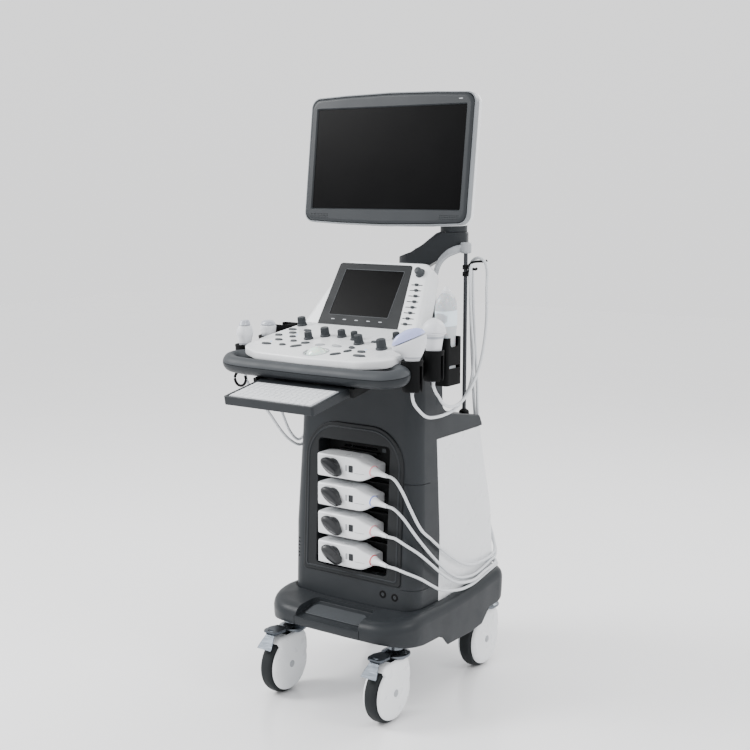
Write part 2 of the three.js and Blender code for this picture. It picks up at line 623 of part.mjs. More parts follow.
function upperArm() {
  const link = V2(NECK.x - ELBOW.x, NECK.y - ELBOW.y);
  const long = link.length();
  const plan = outline([[-34, -34, 29], [long + 30, -30, 25], [long + 30, 30, 25], [-34, 34, 29]], 5);
  const beam = extrudeZ(plan, 1176, 1204, 4).rotateZ(link.angle()).translate(ELBOW.x, ELBOW.y, 0);
  return union(beam, cylinderZ(ELBOW.x, ELBOW.y, 34, 1148 + GAP, 1180, 24));
}
part(scanner, 'monitor_arm_upper', upperArm(), CHARCOAL);

const TILT_AXIS = { y: NECK.y, z: 1300 };
function tiltBracket() {
  const base = cylinderZ(NECK.x, NECK.y, 28, 1204 + GAP, 1226, 20);
  const ears = [-1, 1].map((side) => extrudeX(outline([
    [NECK.y - 22, 1215], [NECK.y + 22, 1215], [NECK.y + 20, TILT_AXIS.z + 20, 19],
    [NECK.y - 20, TILT_AXIS.z + 20, 19],
  ], 4), NECK.x + side * 33 - 5, NECK.x + side * 33 + 5));
  const foot = box(NECK.x - 38, NECK.x + 38, NECK.y - 20, NECK.y + 20, 1214, 1228);
  return union(base, foot, ...ears);
}
part(scanner, 'monitor_bracket', tiltBracket(), CHARCOAL);

// ---------------------------------------------------------------- monitor
const monitorGroup = new THREE.Group();
monitorGroup.position.set(MONITOR.x, MONITOR.y, MONITOR.z);
monitorGroup.rotation.x = MONITOR_TILT;
scanner.add(monitorGroup);
const bezelSide = 20;
const [mx, mTop, mBottom] = [MONITOR.w / 2 + bezelSide, MONITOR.h / 2 + 33, -MONITOR.h / 2 - 38];
const screenRect = (grow) => [
  -MONITOR.w / 2 - grow, -MONITOR.h / 2 - grow, MONITOR.w / 2 + grow, MONITOR.h / 2 + grow,
];
part(monitorGroup, 'monitor_bezel', cut(
  extrudeY(roundedRect(-mx, mBottom, mx, mTop, 16, 4), -8, 10, 3),
  extrudeY(roundedRect(...screenRect(1), 3, 2), -20, 20),
), GREY);
part(monitorGroup, 'monitor_screen', extrudeY(roundedRect(...screenRect(0.6), 3, 2), -3, 6), GLASS_BLACK);

function rearShell() {
  const middle = (mTop + mBottom) / 2;
  const loop = (dx, dz, r, y) => roundedRect(
    -mx + dx, mBottom + dz, mx - dx, mTop - dz, r, 4,
  ).map((p) => V3(p.x, p.y, y));
  const shell = loft([
    loop(96, 80, 24, 54), loop(50, 46, 24, 46), loop(8, 8, 16, 30), loop(0, 0, 14, 10 + GAP),
    loop(-4, -4, 18, 10 + GAP), loop(-4, -4, 18, 18), loop(4, 4, 20, 32), loop(44, 40, 26, 50),
    loop(90, 74, 26, 58),
  ]);
  shell.applyMatrix4(new THREE.Matrix4().makeBasis(V3(1, 0, 0), V3(0, 0, 1), V3(0, 1, 0)));
  const axis = V3(0, TILT_AXIS.y - MONITOR.y, TILT_AXIS.z - MONITOR.z)
    .applyAxisAngle(V3(1, 0, 0), -MONITOR_TILT);
  const boss = box(-25, 25, 54, axis.y, axis.z - 16, axis.z + 16);
  const knuckle = turnedX([[0, -25], [18, -25], [18, 25], [0, 25]], 20).translate(0, axis.y, axis.z);
  return union(shell, boss, knuckle, box(-60, 60, 49, 57, middle - 50, middle + 50));
}
part(monitorGroup, 'monitor_rear_shell', rearShell(), WHITE);

// ---------------------------------------------------------------- probe holders and probes
const CUP_H = 71;
const CUP_OUTER = 24;
const CUP_INNER = 20;
const BOTTLE_X = 240;
const cupTop = (y) => 881 + 0.15 * (y + 163);
// Drum at the left rear that the two left probe cables are laid over.
const DRUM = { y: 112, z: 830, r: 20, x0: -222, x1: -254 };
function cableDrum() {
  const profile = [
    [0, DRUM.x1 - 4], [29, DRUM.x1 - 4], [29, DRUM.x1], [DRUM.r, DRUM.x1], [DRUM.r, DRUM.x0], [0, DRUM.x0],
  ];
  const drum = turnedX(profile, 20).translate(0, DRUM.y, DRUM.z);
  return union(drum, box(-228, -219, 60, DRUM.y, 832, 850));
}
function probeHolder(side) {
  const span = (near, far) => [Math.min(side * near, side * far), Math.max(side * near, side * far)];
  const cupYs = CUP_YS.slice(0, 2);
  const cups = cupYs.map((y) => (
    cylinderZ(side * HOLDER_X, y, CUP_OUTER, cupTop(y) - CUP_H, cupTop(y), 16)
  ));
  const bores = cupYs.map((y) => cylinderZ(side * HOLDER_X, y, CUP_INNER, 700, 1000, 16));
  const cradleY = CUP_YS[2];
  const cradle = box(...span(BOTTLE_X - 24, BOTTLE_X + 24), cradleY - 32, cradleY + 32, 806, 918);
  const hollow = box(...span(BOTTLE_X - 21, BOTTLE_X + 21), cradleY - 29, cradleY + 29, 811, 950);
  const rail = box(...span(219, 227), -160, 66, 832, 856);
  const bracket = box(...span(189, 222), 46, 64, 836, 852);
  const solids = [...cups, cradle, rail, bracket];
  if (side < 0) solids.push(cableDrum());
  return cut(union(...solids), ...bores, hollow);
}
part(scanner, 'probe_holder_right', probeHolder(1), BLACK);
part(scanner, 'probe_holder_left', probeHolder(-1), BLACK);

// Probe handles as stacked ellipses: [height, half width, half depth, sideways offset].
const PROBES = {
  convex: [[-74, 5, 5, 0], [-60, 12, 10, 0], [0, 17, 14, 0], [16, 26, 15, 0], [34, 37, 16, 5],
    [52, 36, 14, 10], [62, 24, 11, 13], [66, 10, 5, 14]],
  volume: [[-74, 5, 5, 0], [-60, 12, 11, 0], [0, 18, 17, 0], [34, 24, 23, 0], [38, 28, 27, 0],
    [44, 28, 27, 0], [58, 24, 23, 0], [68, 15, 14, 0], [72, 6, 6, 0]],
  linear: [[-74, 5, 5, 0], [-60, 11, 9, 0], [-6, 14, 12, 0], [14, 18, 15, 0], [28, 22, 17, 0],
    [44, 18, 13, 0], [58, 12, 8, 0]],
  phased: [[-74, 5, 5, 0], [-60, 11, 10, 0], [-6, 14, 13, 0], [8, 19, 17, 0], [24, 20, 18, 0],
    [34, 16, 14, 0], [37, 10, 9, 0]],
};
const probeBody = (kind) => loft(PROBES[kind].map(
  ([h, wide, deep, offset]) => ellipse(0, offset, deep, wide, 10).map((p) => V3(p.x, p.y, h)),
));
const PROBE_TAIL = 74;
[
  ['probe_convex', 'convex', 1, 0, 125], ['probe_volume', 'volume', 1, 1, 0],
  ['probe_linear', 'linear', -1, 0, 0], ['probe_phased', 'phased', -1, 1, 0],
].forEach(([name, kind, side, k, turn]) => {
  const probe = part(scanner, name, probeBody(kind), LILAC_WHITE);
  probe.position.set(side * HOLDER_X, CUP_YS[k], cupTop(CUP_YS[k]));
  probe.rotation.z = THREE.MathUtils.degToRad(turn);
});
part(scanner, 'gel_bottle', loft([
  [812, 18, 27], [920, 18, 27], [938, 20, 31], [985, 20, 31], [1012, 17, 27], [1030, 11, 18],
].map(([z, rx, ry]) => ellipse(0, 0, rx, ry, 12)
  .map((p) => V3(p.x + BOTTLE_X, p.y + CUP_YS[2], z)))), TRANSLUCENT);

// ---------------------------------------------------------------- cable hanger
function cableHanger() {
  const pole = cylinderZ(POLE.x, POLE.y, 5, 690, 1110, 12);
  const foot = cylinderZ(POLE.x, POLE.y, 13, 670, 702, 16);
  const hub = cylinderZ(POLE.x, POLE.y, 14, 1098, 1124, 16);
  const bow = new THREE.CatmullRomCurve3([
    V3(POLE.x, POLE.y, 1110), V3(132, 208, 1106), V3(112, 194, 1094), V3(97, 184, 1074),
    V3(89, 178, 1044), V3(86, 176, 1000), V3(86, 176, 940),
  ]);
  const section = new THREE.Shape(ellipse(0, 0, 9, 5, 8));
  const strap = new THREE.ExtrudeGeometry(section, { extrudePath: bow, steps: 14 });
  const hooks = [[39, -16, 1055], [36, 37, 1071.5]].flatMap(([dx, dy, z]) => {
    const reach = Math.hypot(dx, dy);
    const rod = turnedX([[0, 0], [4, 0], [4, reach], [0, reach]], 8);
    const tip = turnedX([[0, reach - 2], [7, reach - 2], [7, reach + 3], [0, reach + 3]], 8);
    return [rod, tip].map((g) => g.rotateZ(Math.atan2(dy, dx)).translate(POLE.x, POLE.y, z));
  });
  const intoShoulder = extrudeX(shoulderSide, -200, 200).translate(0, 0, GAP);
  return cut(union(pole, foot, hub, ...hooks, cut(strap, belowConsole(GAP))), intoShoulder);
}
part(scanner, 'cable_hanger', cableHanger(), LIGHT_GREY);

// ---------------------------------------------------------------- probe cables
const CABLE_R = 3.75;
const CABLE_STEPS = 72;
const ROUTES = {
  cable_1: [
    [140, -74.5, 573], [160, -73, 547], [177, -67, 510], [194, -44, 455], [199, -8, 424], [199, 40, 388],
    [199, 90, 354], [199, 140, 326], [198, 190, 309], [196, 240, 304], [195, 288, 306], [188.5, 323, 314],
    [173, 341, 342], [160, 339, 385], [154, 328, 450], [155, 292, 615], [158, 281, 662],
    [162, 270, 692], [167, 259, 724], [170, 252, 765], [164, 243, 920], [161, 241, 990],
    [160, 240, 1040], [163.5, 232.4, 1060], [172, 214, 1068], [180.5, 195.6, 1060], [184, 188, 1040],
    [186, 186, 984], [190, 188, 910], [195, 190, 840], [200, 168, 779], [206, 122, 746], [214, 60, 729],
    [234, -80, 737], [241, -130, 762], [244.5, -156, 783],
  ],
  cable_2: [
    [138, -74, 502], [160, -71, 484], [184, -52, 440], [198, -18, 395], [200, 30, 352], [200, 75, 318],
    [200, 124, 293], [199, 190, 281], [197, 240, 284], [194, 290, 294], [190, 322, 298], [180, 342, 313],
    [163, 349, 344], [149, 341, 390], [145, 328, 450], [146, 292, 615], [149, 281, 662],
    [156, 260, 724], [156, 256, 770], [152, 254, 850], [146, 252, 1010],
    [145.5, 250.5, 1057], [154, 249, 1077], [173, 246, 1085], [192, 243, 1077], [200.5, 241, 1057],
    [201, 240, 1006], [202, 240, 943], [205, 226, 882], [208, 198, 822], [212, 156, 778], [218, 104, 750],
    [226, 44, 743], [235, -12, 758], [242, -48, 782], [244.5, -68, 800],
  ],
  cable_3: [
    [140, -74.5, 431], [166, -71, 419], [190, -50, 397], [204, -16, 365], [205, 22, 336], [207, 60, 310],
    [208, 100, 289], [208, 150, 276], [207, 193, 272], [205, 240, 279], [203, 290, 284], [190, 326, 285],
    [166, 339, 281], [130, 340, 277], [-30, 340, 277], [-110, 340, 277], [-146, 340, 283],
    [-165, 340, 310], [-170, 336, 370], [-170, 326, 450], [-171, 289, 620],
    [-174, 266, 700], [-181, 248, 745], [-215, 178, 838],
    [-230, 135, 855], [-234, 112, 859], [-234, 91, 851.5], [-234, 82.5, 830], [-233, 80, 785],
    [-223, 64, 695], [-208, 36, 626], [-204, 0, 606], [-210, -46, 630], [-228, -96, 700],
    [-240, -134, 756], [-244.5, -157, 784],
  ],
  cable_4: [
    [140, -74.5, 357], [168, -72, 351], [194, -50, 336], [207, -14, 311], [209, 24, 290],
    [209, 100, 269], [208, 150, 263], [205, 193, 262.5], [202, 240, 268], [200, 290, 275],
    [192, 330, 276], [166, 349.5, 274.5], [130, 350.5, 273.5],
    [-100, 350.5, 273.5], [-140, 350, 277], [-168, 350, 300], [-180, 344, 370], [-180, 334, 450],
    [-181, 295, 622], [-187, 268, 706], [-196, 248, 750],
    [-212, 216, 798], [-230, 176, 836], [-244, 135, 854], [-247, 112, 859], [-247, 91, 851.5],
    [-247, 82.5, 830], [-244, 80, 785], [-236, 72, 705], [-229, 58, 652], [-223, 36, 622],
    [-220, 8, 616], [-222, -20, 640], [-229, -40, 686], [-238, -60, 746],
    [-244, -72, 792],
  ],
};
// Each cable runs from its connector's strain relief to its probe's.
const cableEnds = [
  ['cable_1', 'convex', 1, 0], ['cable_2', 'volume', 1, 1],
  ['cable_3', 'linear', -1, 0], ['cable_4', 'phased', -1, 1],
];
cableEnds.forEach(([name, , side, cupIndex], k) => {
  const z = connectorZ[k] + reliefTip.z;
  const exit = [reliefTip.x + 0.4, reliefTip.y, z];
  const y = CUP_YS[cupIndex];
  const entry = [side * HOLDER_X, y, cupTop(y) - PROBE_TAIL - 0.5];
  const stepOut = [reliefTip.x + 8, reliefTip.y, z - 0.4];
  const stepIn = [entry[0], entry[1], entry[2] - 7];
  const route = new THREE.CatmullRomCurve3(
    [exit, stepOut, ...ROUTES[name], stepIn, entry].map((p) => V3(...p)),
  );
  const section = new THREE.Shape(ellipse(0, 0, CABLE_R, CABLE_R, 8));
  part(scanner, name, new THREE.ExtrudeGeometry(section, {
    extrudePath: route, steps: CABLE_STEPS,
  }), CABLE);
});

export default scanner;
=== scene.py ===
import math

import bmesh
import bpy
from mathutils import Matrix, Vector


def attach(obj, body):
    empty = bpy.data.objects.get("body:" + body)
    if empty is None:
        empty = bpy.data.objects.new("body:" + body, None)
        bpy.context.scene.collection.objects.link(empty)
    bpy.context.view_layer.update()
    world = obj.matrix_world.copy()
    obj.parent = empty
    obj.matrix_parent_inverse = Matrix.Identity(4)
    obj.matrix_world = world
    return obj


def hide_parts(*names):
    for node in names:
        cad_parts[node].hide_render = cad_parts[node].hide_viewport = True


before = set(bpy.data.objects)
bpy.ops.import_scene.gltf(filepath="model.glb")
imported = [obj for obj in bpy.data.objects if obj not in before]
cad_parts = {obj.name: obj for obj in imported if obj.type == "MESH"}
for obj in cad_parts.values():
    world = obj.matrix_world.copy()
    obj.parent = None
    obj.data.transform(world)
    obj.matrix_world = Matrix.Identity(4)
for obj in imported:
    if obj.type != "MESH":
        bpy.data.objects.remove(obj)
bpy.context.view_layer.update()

SCENE = bpy.context.scene
MM = 0.001  # shapes below are written in millimetres, in the CAD frame

# ---------------------------------------------------------------- driving places and sizes
CONSOLE = Matrix.Translation((0, -100, 902.2)) @ Matrix.Rotation(math.radians(10), 4, "X")
FACE = Matrix.Translation((0, 63, 999)) @ Matrix.Rotation(math.radians(55.5), 4, "X")
MONITOR = Matrix.Translation((18, 69, 1329)) @ Matrix.Rotation(math.radians(-7), 4, "X")
FRONT_SLOPE = math.radians(2.8)
WHEEL_R, TRAIL = 75, 38
CASTERS = {
    "front_left": (-158, -97), "front_right": (158, -97),
    "rear_left": (-158, 333), "rear_right": (158, 333),
}
CONNECTOR_ZS = [584 - 74 * k for k in range(4)]
RELIEF_ROOT, RELIEF_TIP = Vector((67, -62, 0)), Vector((118, -74, -4))
CUP_X, BOTTLE_X = 245, 240
CUP_YS, CRADLE_Y = (-163, -75), -14
CABLE_D = 7.5
ARM_FOOT, ELBOW, NECK, TILT_Z = (0, 214), (100, 246), (18, 168), 1300
LINK = (ELBOW[0] - ARM_FOOT[0], ELBOW[1] - ARM_FOOT[1])
CORNERS = [(sx, sz) for sx in (-1, 1) for sz in (-1, 1)]
# Boxes that cut away what stands above the console's underside, or below its top.
ABOVE = (-400, 400, -400, 500, -95.4, 305, CONSOLE)
BELOW = (-400, 400, -400, 500, -400, 0.4, CONSOLE)


def slope_s(y):
    """Distance along the sloping console top of the point above that y."""
    return (y + 100) / math.cos(math.radians(10))


def cup_top(y):
    return 881 + 0.15 * (y + 163)


# ---------------------------------------------------------------- camera
def make_camera():
    data = bpy.data.cameras.new("camera")
    data.lens = 58.75
    data.clip_end = 50
    camera = bpy.data.objects.new("camera", data)
    SCENE.collection.objects.link(camera)
    camera.location = (1.724, -2.415, 1.267)
    look = Vector((-0.5676, 0.8088, -0.1540))
    camera.rotation_euler = look.to_track_quat("-Z", "Y").to_euler()
    SCENE.camera = camera


make_camera()


# ---------------------------------------------------------------- node materials
def rgb(code):
    """Linear colour of a sRGB hex code."""
    channels = [((code >> shift) & 255) / 255 for shift in (16, 8, 0)]
    return tuple(c / 12.92 if c < 0.04045 else ((c + 0.055) / 1.055) ** 2.4 for c in channels)


def shade(colour, factor):
    return tuple(min(1.0, c * factor) for c in colour) + (1.0,)


class Recipe:
    """A Principled material whose colour, roughness and grain vary over the surface."""

    def __init__(self, name, slot):
        self.material = bpy.data.materials.new(name)
        self.material.use_nodes = True
        self.material["slot"] = slot
        self.tree = self.material.node_tree
        self.shader = self.tree.nodes["Principled BSDF"]
        self.place = self.node("ShaderNodeTexCoord").outputs["Object"]

    def node(self, kind, **settings):
        node = self.tree.nodes.new(kind)
        for key, value in settings.items():
            setattr(node, key, value)
        return node

    def link(self, source, target):
        self.tree.links.new(source, target)

    def noise(self, scale, detail=3.0, stretch=None):
        node = self.node("ShaderNodeTexNoise")
        node.inputs["Scale"].default_value = scale
        node.inputs["Detail"].default_value = detail
        source = self.place
        if stretch:
            mapping = self.node("ShaderNodeMapping")
            mapping.inputs["Scale"].default_value = stretch
            self.link(self.place, mapping.inputs["Vector"])
            source = mapping.outputs["Vector"]
        self.link(source, node.inputs["Vector"])
        return node.outputs["Fac"]

    def remap(self, source, low, high):
        node = self.node("ShaderNodeMapRange")
        node.inputs["From Min"].default_value = 0.3
        node.inputs["From Max"].default_value = 0.7
        node.inputs["To Min"].default_value = low
        node.inputs["To Max"].default_value = high
        self.link(source, node.inputs["Value"])
        return node.outputs["Result"]

    def colour(self, base, spread=0.05, scale=9, source=None):
        ramp = self.node("ShaderNodeValToRGB")
        ramp.color_ramp.elements[0].position = 0.3
        ramp.color_ramp.elements[1].position = 0.7
        ramp.color_ramp.elements[0].color = shade(base, 1 - spread)
        ramp.color_ramp.elements[1].color = shade(base, 1 + spread)
        self.link(source or self.noise(scale), ramp.inputs["Fac"])
        self.link(ramp.outputs["Color"], self.shader.inputs["Base Color"])

    def rough(self, value, spread=0.06, scale=22, stretch=None):
        varied = self.remap(self.noise(scale, 5.0, stretch), value - spread, value + spread)
        self.link(varied, self.shader.inputs["Roughness"])

    def grain(self, scale, strength, depth=0.0002, detail=2.0, stretch=None):
        bump = self.node("ShaderNodeBump")
        bump.inputs["Strength"].default_value = strength
        bump.inputs["Distance"].default_value = depth
        self.link(self.noise(scale, detail, stretch), bump.inputs["Height"])
        self.link(bump.outputs["Normal"], self.shader.inputs["Normal"])

    def set(self, **sockets):
        for key, value in sockets.items():
            self.shader.inputs[key.replace("_", " ")].default_value = value
        return self


def moulded(name, slot, code, rough=0.42, spread=0.05, grain=0.25, grain_scale=900, **sockets):
    """Injection-moulded plastic: faint mottling, spark-eroded grain, uneven gloss."""
    recipe = Recipe(name, slot)
    recipe.colour(rgb(code), spread)
    recipe.rough(rough)
    recipe.grain(grain_scale, grain)
    if max(rgb(code)) < 0.1:
        recipe.set(Specular_IOR_Level=0.2)
    return recipe.set(**sockets).material


def metal(name, slot, code, rough=0.3, stretch=(1, 1, 14)):
    """Zinc-plated or brushed metal: long fine scratches and patchy polish."""
    recipe = Recipe(name, slot)
    recipe.colour(rgb(code), 0.07, source=recipe.noise(60, 4.0, stretch))
    recipe.rough(rough, 0.1, 40, stretch)
    recipe.grain(500, 0.2, 0.0001, 3.0, stretch)
    return recipe.set(Metallic=1.0).material


def glowing(name, slot, code, strength):
    recipe = Recipe(name, slot)
    recipe.colour(rgb(code), 0.04)
    recipe.rough(0.3, 0.03)
    recipe.set(Emission_Strength=strength)
    recipe.shader.inputs["Emission Color"].default_value = rgb(code) + (1.0,)
    return recipe.material


CHARCOAL = moulded("charcoal_shell", "charcoal_plastic", 0x24272A, 0.4)
SOFT_GREY = moulded("soft_touch_grey", "grey_plastic", 0x3C3F42, 0.5, grain=0.4, grain_scale=700)
KEY_GREY = moulded("key_grey", "grey_plastic", 0x404346, 0.45, 0.06, 0.3)
KNOB_GREY = moulded("knob_grey", "grey_plastic", 0x323538, 0.4, 0.05, 0.35)
MONITOR_GREY = moulded("monitor_grey", "grey_plastic", 0x2B2E31, 0.4, 0.04, 0.3)
REAR_GREY = moulded("rear_grey", "grey_plastic", 0x4A4D50, 0.5, 0.05, 0.4)
LIGHT_GREY = moulded("light_grey", "light_grey_plastic", 0x9B9EA2, 0.4, 0.04, 0.2)
DARK = moulded("port_frame_dark", "dark_plastic", 0x1A1C1E, 0.45, 0.06, 0.35)
PANEL_BLACK = moulded("port_panel_black", "black_plastic", 0x0C0D0E, 0.55, 0.08, 0.45,
                      Specular_IOR_Level=0.12)
RUBBER_BLACK = moulded("holder_rubber", "black_plastic", 0x08090A, 0.62, 0.1, 0.6, 500,
                       Specular_IOR_Level=0.1)
# Near black: the real colour of black parts such as the jack rims and mains inlet, and painted shade where
# it floors the speaker holes and slider slots.
BLACK_AND_HOLE_SHADE = moulded("black_and_painted_hole_shade", "black_plastic", 0x060607, 0.8, 0.1, 0.3)
WHITE = moulded("white_shell", "white_plastic", 0xE0E2E4, 0.3, 0.015, 0.12,
                Coat_Weight=0.25, Coat_Roughness=0.15)
KEY_WHITE = moulded("keyboard_key", "white_plastic", 0xD6D9DC, 0.38, 0.03, 0.2)
PROBE_WHITE = moulded("probe_white", "probe_plastic", 0xD2D4D8, 0.36, 0.02, 0.18, Coat_Weight=0.1)
PROBE_GREY = moulded("probe_grey", "probe_plastic", 0x9EA2A9, 0.45, 0.04, 0.3)
LENS_LILAC = moulded("probe_lens_lilac", "probe_plastic", 0xA6AEDB, 0.3, 0.04, 0.1, Coat_Weight=0.3)
LENS_GREY = moulded("probe_lens_grey", "probe_plastic", 0xA9ADB6, 0.3, 0.05, 0.1, Coat_Weight=0.2)
CABLE = moulded("cable_jacket", "cable_jacket", 0xCDD0D3, 0.42, 0.03, 0.2, 1200)
TYRE = moulded("tyre_rubber", "tyre_rubber", 0x1B1E20, 0.6, 0.12, 0.6, 420)
RING_PINK = moulded("ring_pink", "white_plastic", 0xE88A96, 0.4, 0.06, 0.2)
RING_BLUE = moulded("ring_blue", "white_plastic", 0x6F7FD0, 0.4, 0.06, 0.2)
RING_RED = moulded("ring_red", "white_plastic", 0xC8303C, 0.4, 0.06, 0.2)
ZINC = metal("zinc_plate", "steel", 0x6C7177, 0.3)
PEDAL = metal("pedal_metal", "steel", 0x50555B, 0.42)
STEEL = metal("chassis_steel", "steel", 0x8E9399, 0.42)
BEZEL_BLACK = moulded("touch_bezel", "black_glass", 0x26282B, 0.32, 0.05, 0.15)
TYRE_CORE = moulded("wheel_core", "tyre_rubber", 0x7B8085, 0.5)
MODULE_GREY = moulded("module_casing", "module_casing", 0x8A8E92, 0.55, 0.06, 0.4)
LEVER_GREY = moulded("lever_grey", "grey_plastic", 0x2A2B2D, 0.3, 0.06, 0.2, Coat_Weight=0.2)
BEZEL_GREY = moulded("touch_frame_grey", "black_glass", 0x1D1F21, 0.5, 0.05, 0.25, Specular_IOR_Level=0.15)
# The screen rim is white plastic; its mid grey is painted shade, the shade of one side laid over the whole
# rim.
RIM_PAINTED_SHADE = moulded("screen_rim_painted_shade", "white_plastic", 0x74787C, 0.36, 0.04, 0.2)
LABEL_BLANK = moulded("blank_label", "translucent_bottle", 0xD5E2EA, 0.5, 0.05, 0.1)
POLE_GREY = moulded("pole_grey", "light_grey_plastic", 0x2E3034, 0.35, 0.06, 0.2, Coat_Weight=0.2)
LED_BLUE = glowing("led_blue", "black_glass", 0x8FB8F0, 1.0)


def make_screen_glass():
    recipe = Recipe("screen_glass", "black_glass")
    recipe.colour(rgb(0x030304), 0.2, 5)
    recipe.rough(0.3, 0.03, 8)
    recipe.grain(1500, 0.05, 0.00005)
    return recipe.set(Specular_IOR_Level=0.07, IOR=1.4).material


def make_ball():
    recipe = Recipe("trackball_resin", "trackball_resin")
    recipe.colour(rgb(0xDCEBE2), 0.05, 45)
    recipe.rough(0.12, 0.03)
    recipe.grain(300, 0.03, 0.00005)
    recipe.set(Subsurface_Weight=0.2, Subsurface_Scale=0.01, Coat_Weight=0.6, Coat_Roughness=0.05)
    return recipe.material


def make_bottle_plastic():
    recipe = Recipe("bottle_plastic", "translucent_bottle")
    recipe.colour(rgb(0xC4C9CD), 0.03, 20)
    recipe.rough(0.3, 0.06, 30)
    recipe.grain(250, 0.12, 0.0002)
    return recipe.set(Transmission_Weight=0.22, IOR=1.48, Subsurface_Weight=0.15,
                      Subsurface_Scale=0.02).material


GLASS = make_screen_glass()
BALL = make_ball()
BOTTLE = make_bottle_plastic()


# ---------------------------------------------------------------- mesh helpers
def new_piece(name, vertices, faces, place=None):
    place = place or Matrix()
    mesh = bpy.data.meshes.new(name)
    mesh.from_pydata([(place @ Vector(v)) * MM for v in vertices], [], faces)
    mesh.update()
    piece = bpy.data.objects.new(name, mesh)
    SCENE.collection.objects.link(piece)
    return piece


def loft(name, rings, place=None, closed=False):
    """Skin through rings of equal length: capped at both ends, or joined end to end."""
    count = len(rings[0])
    vertices = [p for ring in rings for p in ring]
    faces = []
    last = len(rings) if closed else len(rings) - 1
    for k in range(last):
        a, b = k * count, ((k + 1) % len(rings)) * count
        for i in range(count):
            j = (i + 1) % count
            faces.append((a + i, a + j, b + j, b + i))
    if not closed:
        faces.append(tuple(reversed(range(count))))
        faces.append(tuple(range(len(vertices) - count, len(vertices))))
    piece = new_piece(name, vertices, faces, place)
    recalculate(piece)
    return piece


def recalculate(piece):
    shape = bmesh.new()
    shape.from_mesh(piece.data)
    bmesh.ops.remove_doubles(shape, verts=shape.verts, dist=1e-6)
    bmesh.ops.dissolve_degenerate(shape, edges=shape.edges, dist=1e-7)
    bmesh.ops.recalc_face_normals(shape, faces=shape.faces)
    shape.to_mesh(piece.data)
    shape.free()


def settle(piece):
    """Replaces the piece's mesh with what its modifiers make of it."""
    graph = bpy.context.evaluated_depsgraph_get()
    mesh = bpy.data.meshes.new_from_object(piece.evaluated_get(graph))
    piece.modifiers.clear()
    old, piece.data = piece.data, mesh
    bpy.data.meshes.remove(old)
    return piece


def bevel(piece, width, segments=3, angle=30):
    tool = piece.modifiers.new("bevel", "BEVEL")
    tool.width = width * MM
    tool.segments = segments
    tool.limit_method = "ANGLE"
    tool.angle_limit = math.radians(angle)
    tool.use_clamp_overlap = True
    return settle(piece)


def combine(piece, operation, others):
    for other in others:
        tool = piece.modifiers.new("boolean", "BOOLEAN")
        tool.operation = operation
        tool.solver = "EXACT"
        tool.object = other
        settle(piece)
        discard(other)
    return piece


def discard(piece):
    mesh = piece.data
    bpy.data.objects.remove(piece)
    if mesh.users == 0:
        bpy.data.meshes.remove(mesh)


def cut(piece, *tools):
    return combine(piece, "DIFFERENCE", tools)


def fuse(piece, *others):
    return combine(piece, "UNION", others)


def join(name, pieces):
    """One object from several closed shells; materials keep their places."""
    pieces = list(pieces)
    with bpy.context.temp_override(
        active_object=pieces[0], object=pieces[0],
        selected_editable_objects=pieces, selected_objects=pieces,
    ):
        bpy.ops.object.join()
    pieces[0].name = name
    pieces[0].data.name = name
    return pieces[0]


def smooth(piece, angle=32):
    piece.data.polygons.foreach_set("use_smooth", [True] * len(piece.data.polygons))
    piece.data.set_sharp_from_angle(angle=math.radians(angle))
    return piece


def weigh(piece):
    """Big flat faces keep their own normals, so long thin triangles don't ripple."""
    modifier = piece.modifiers.new("weighted", "WEIGHTED_NORMAL")
    modifier.keep_sharp = True
    bpy.context.view_layer.objects.active = piece
    bpy.ops.object.modifier_apply(modifier="weighted")


def paint(piece, material):
    piece.data.materials.clear()
    piece.data.materials.append(material)
    return piece


def place_on(piece, body, material=None, replaces=(), angle=32):
    """Last step for every piece: material, smooth shading, body, slot and what it stands for."""
    if material:
        paint(piece, material)
    smooth(piece, angle)
    weigh(piece)
    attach(piece, body)
    if replaces:
        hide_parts(*replaces)
    return piece


# ---------------------------------------------------------------- outlines
def outline(corners, steps=8):
    """Polygon from corners (x, y) or (x, y, radius); round corners become arcs."""
    points = []
    for i, corner in enumerate(corners):
        here = Vector(corner[:2])
        radius = corner[2] if len(corner) > 2 else 0
        before = (Vector(corners[i - 1][:2]) - here).normalized()
        after = (Vector(corners[(i + 1) % len(corners)][:2]) - here).normalized()
        half = math.acos(max(-1, min(1, before.dot(after)))) / 2
        if radius < 0.01 or half > 1.55:
            points.append(tuple(here))
            continue
        centre = here + (before + after).normalized() * radius / math.sin(half)
        reach = radius / math.tan(half)
        start = here + before * reach - centre
        end = here + after * reach - centre
        first = math.atan2(start.y, start.x)
        sweep = (math.atan2(end.y, end.x) - first + math.pi) % (2 * math.pi) - math.pi
        for k in range(steps + 1):
            turn = first + sweep * k / steps
            points.append((centre.x + radius * math.cos(turn), centre.y + radius * math.sin(turn)))
    return points


def rounded_rect(x0, y0, x1, y1, radius, steps=6):
    return outline([(x0, y0, radius), (x1, y0, radius), (x1, y1, radius), (x0, y1, radius)], steps)


def ellipse(cx, cy, rx, ry, sides=32, turn=0.0):
    ring = []
    for k in range(sides):
        a = 2 * math.pi * k / sides
        x, y = rx * math.cos(a), ry * math.sin(a)
        ring.append((cx + x * math.cos(turn) - y * math.sin(turn),
                     cy + x * math.sin(turn) + y * math.cos(turn)))
    return ring


AXES = {
    "x": lambda p, level: (level, p[0], p[1]),
    "y": lambda p, level: (p[0], level, p[1]),
    "z": lambda p, level: (p[0], p[1], level),
}


def extrude(name, points, low, high, axis="z", place=None, edge=0.0, segments=3):
    """Straight extrusion of an outline, its rims rounded by edge."""
    rings = [[AXES[axis](p, level) for p in points] for level in (low, high)]
    piece = loft(name, rings, place)
    return bevel(piece, edge, segments) if edge else piece


def box(name, x0, x1, y0, y1, z0, z1, place=None, edge=0.0, segments=3):
    return extrude(name, [(x0, y0), (x1, y0), (x1, y1), (x0, y1)], z0, z1, "z", place, edge, segments)


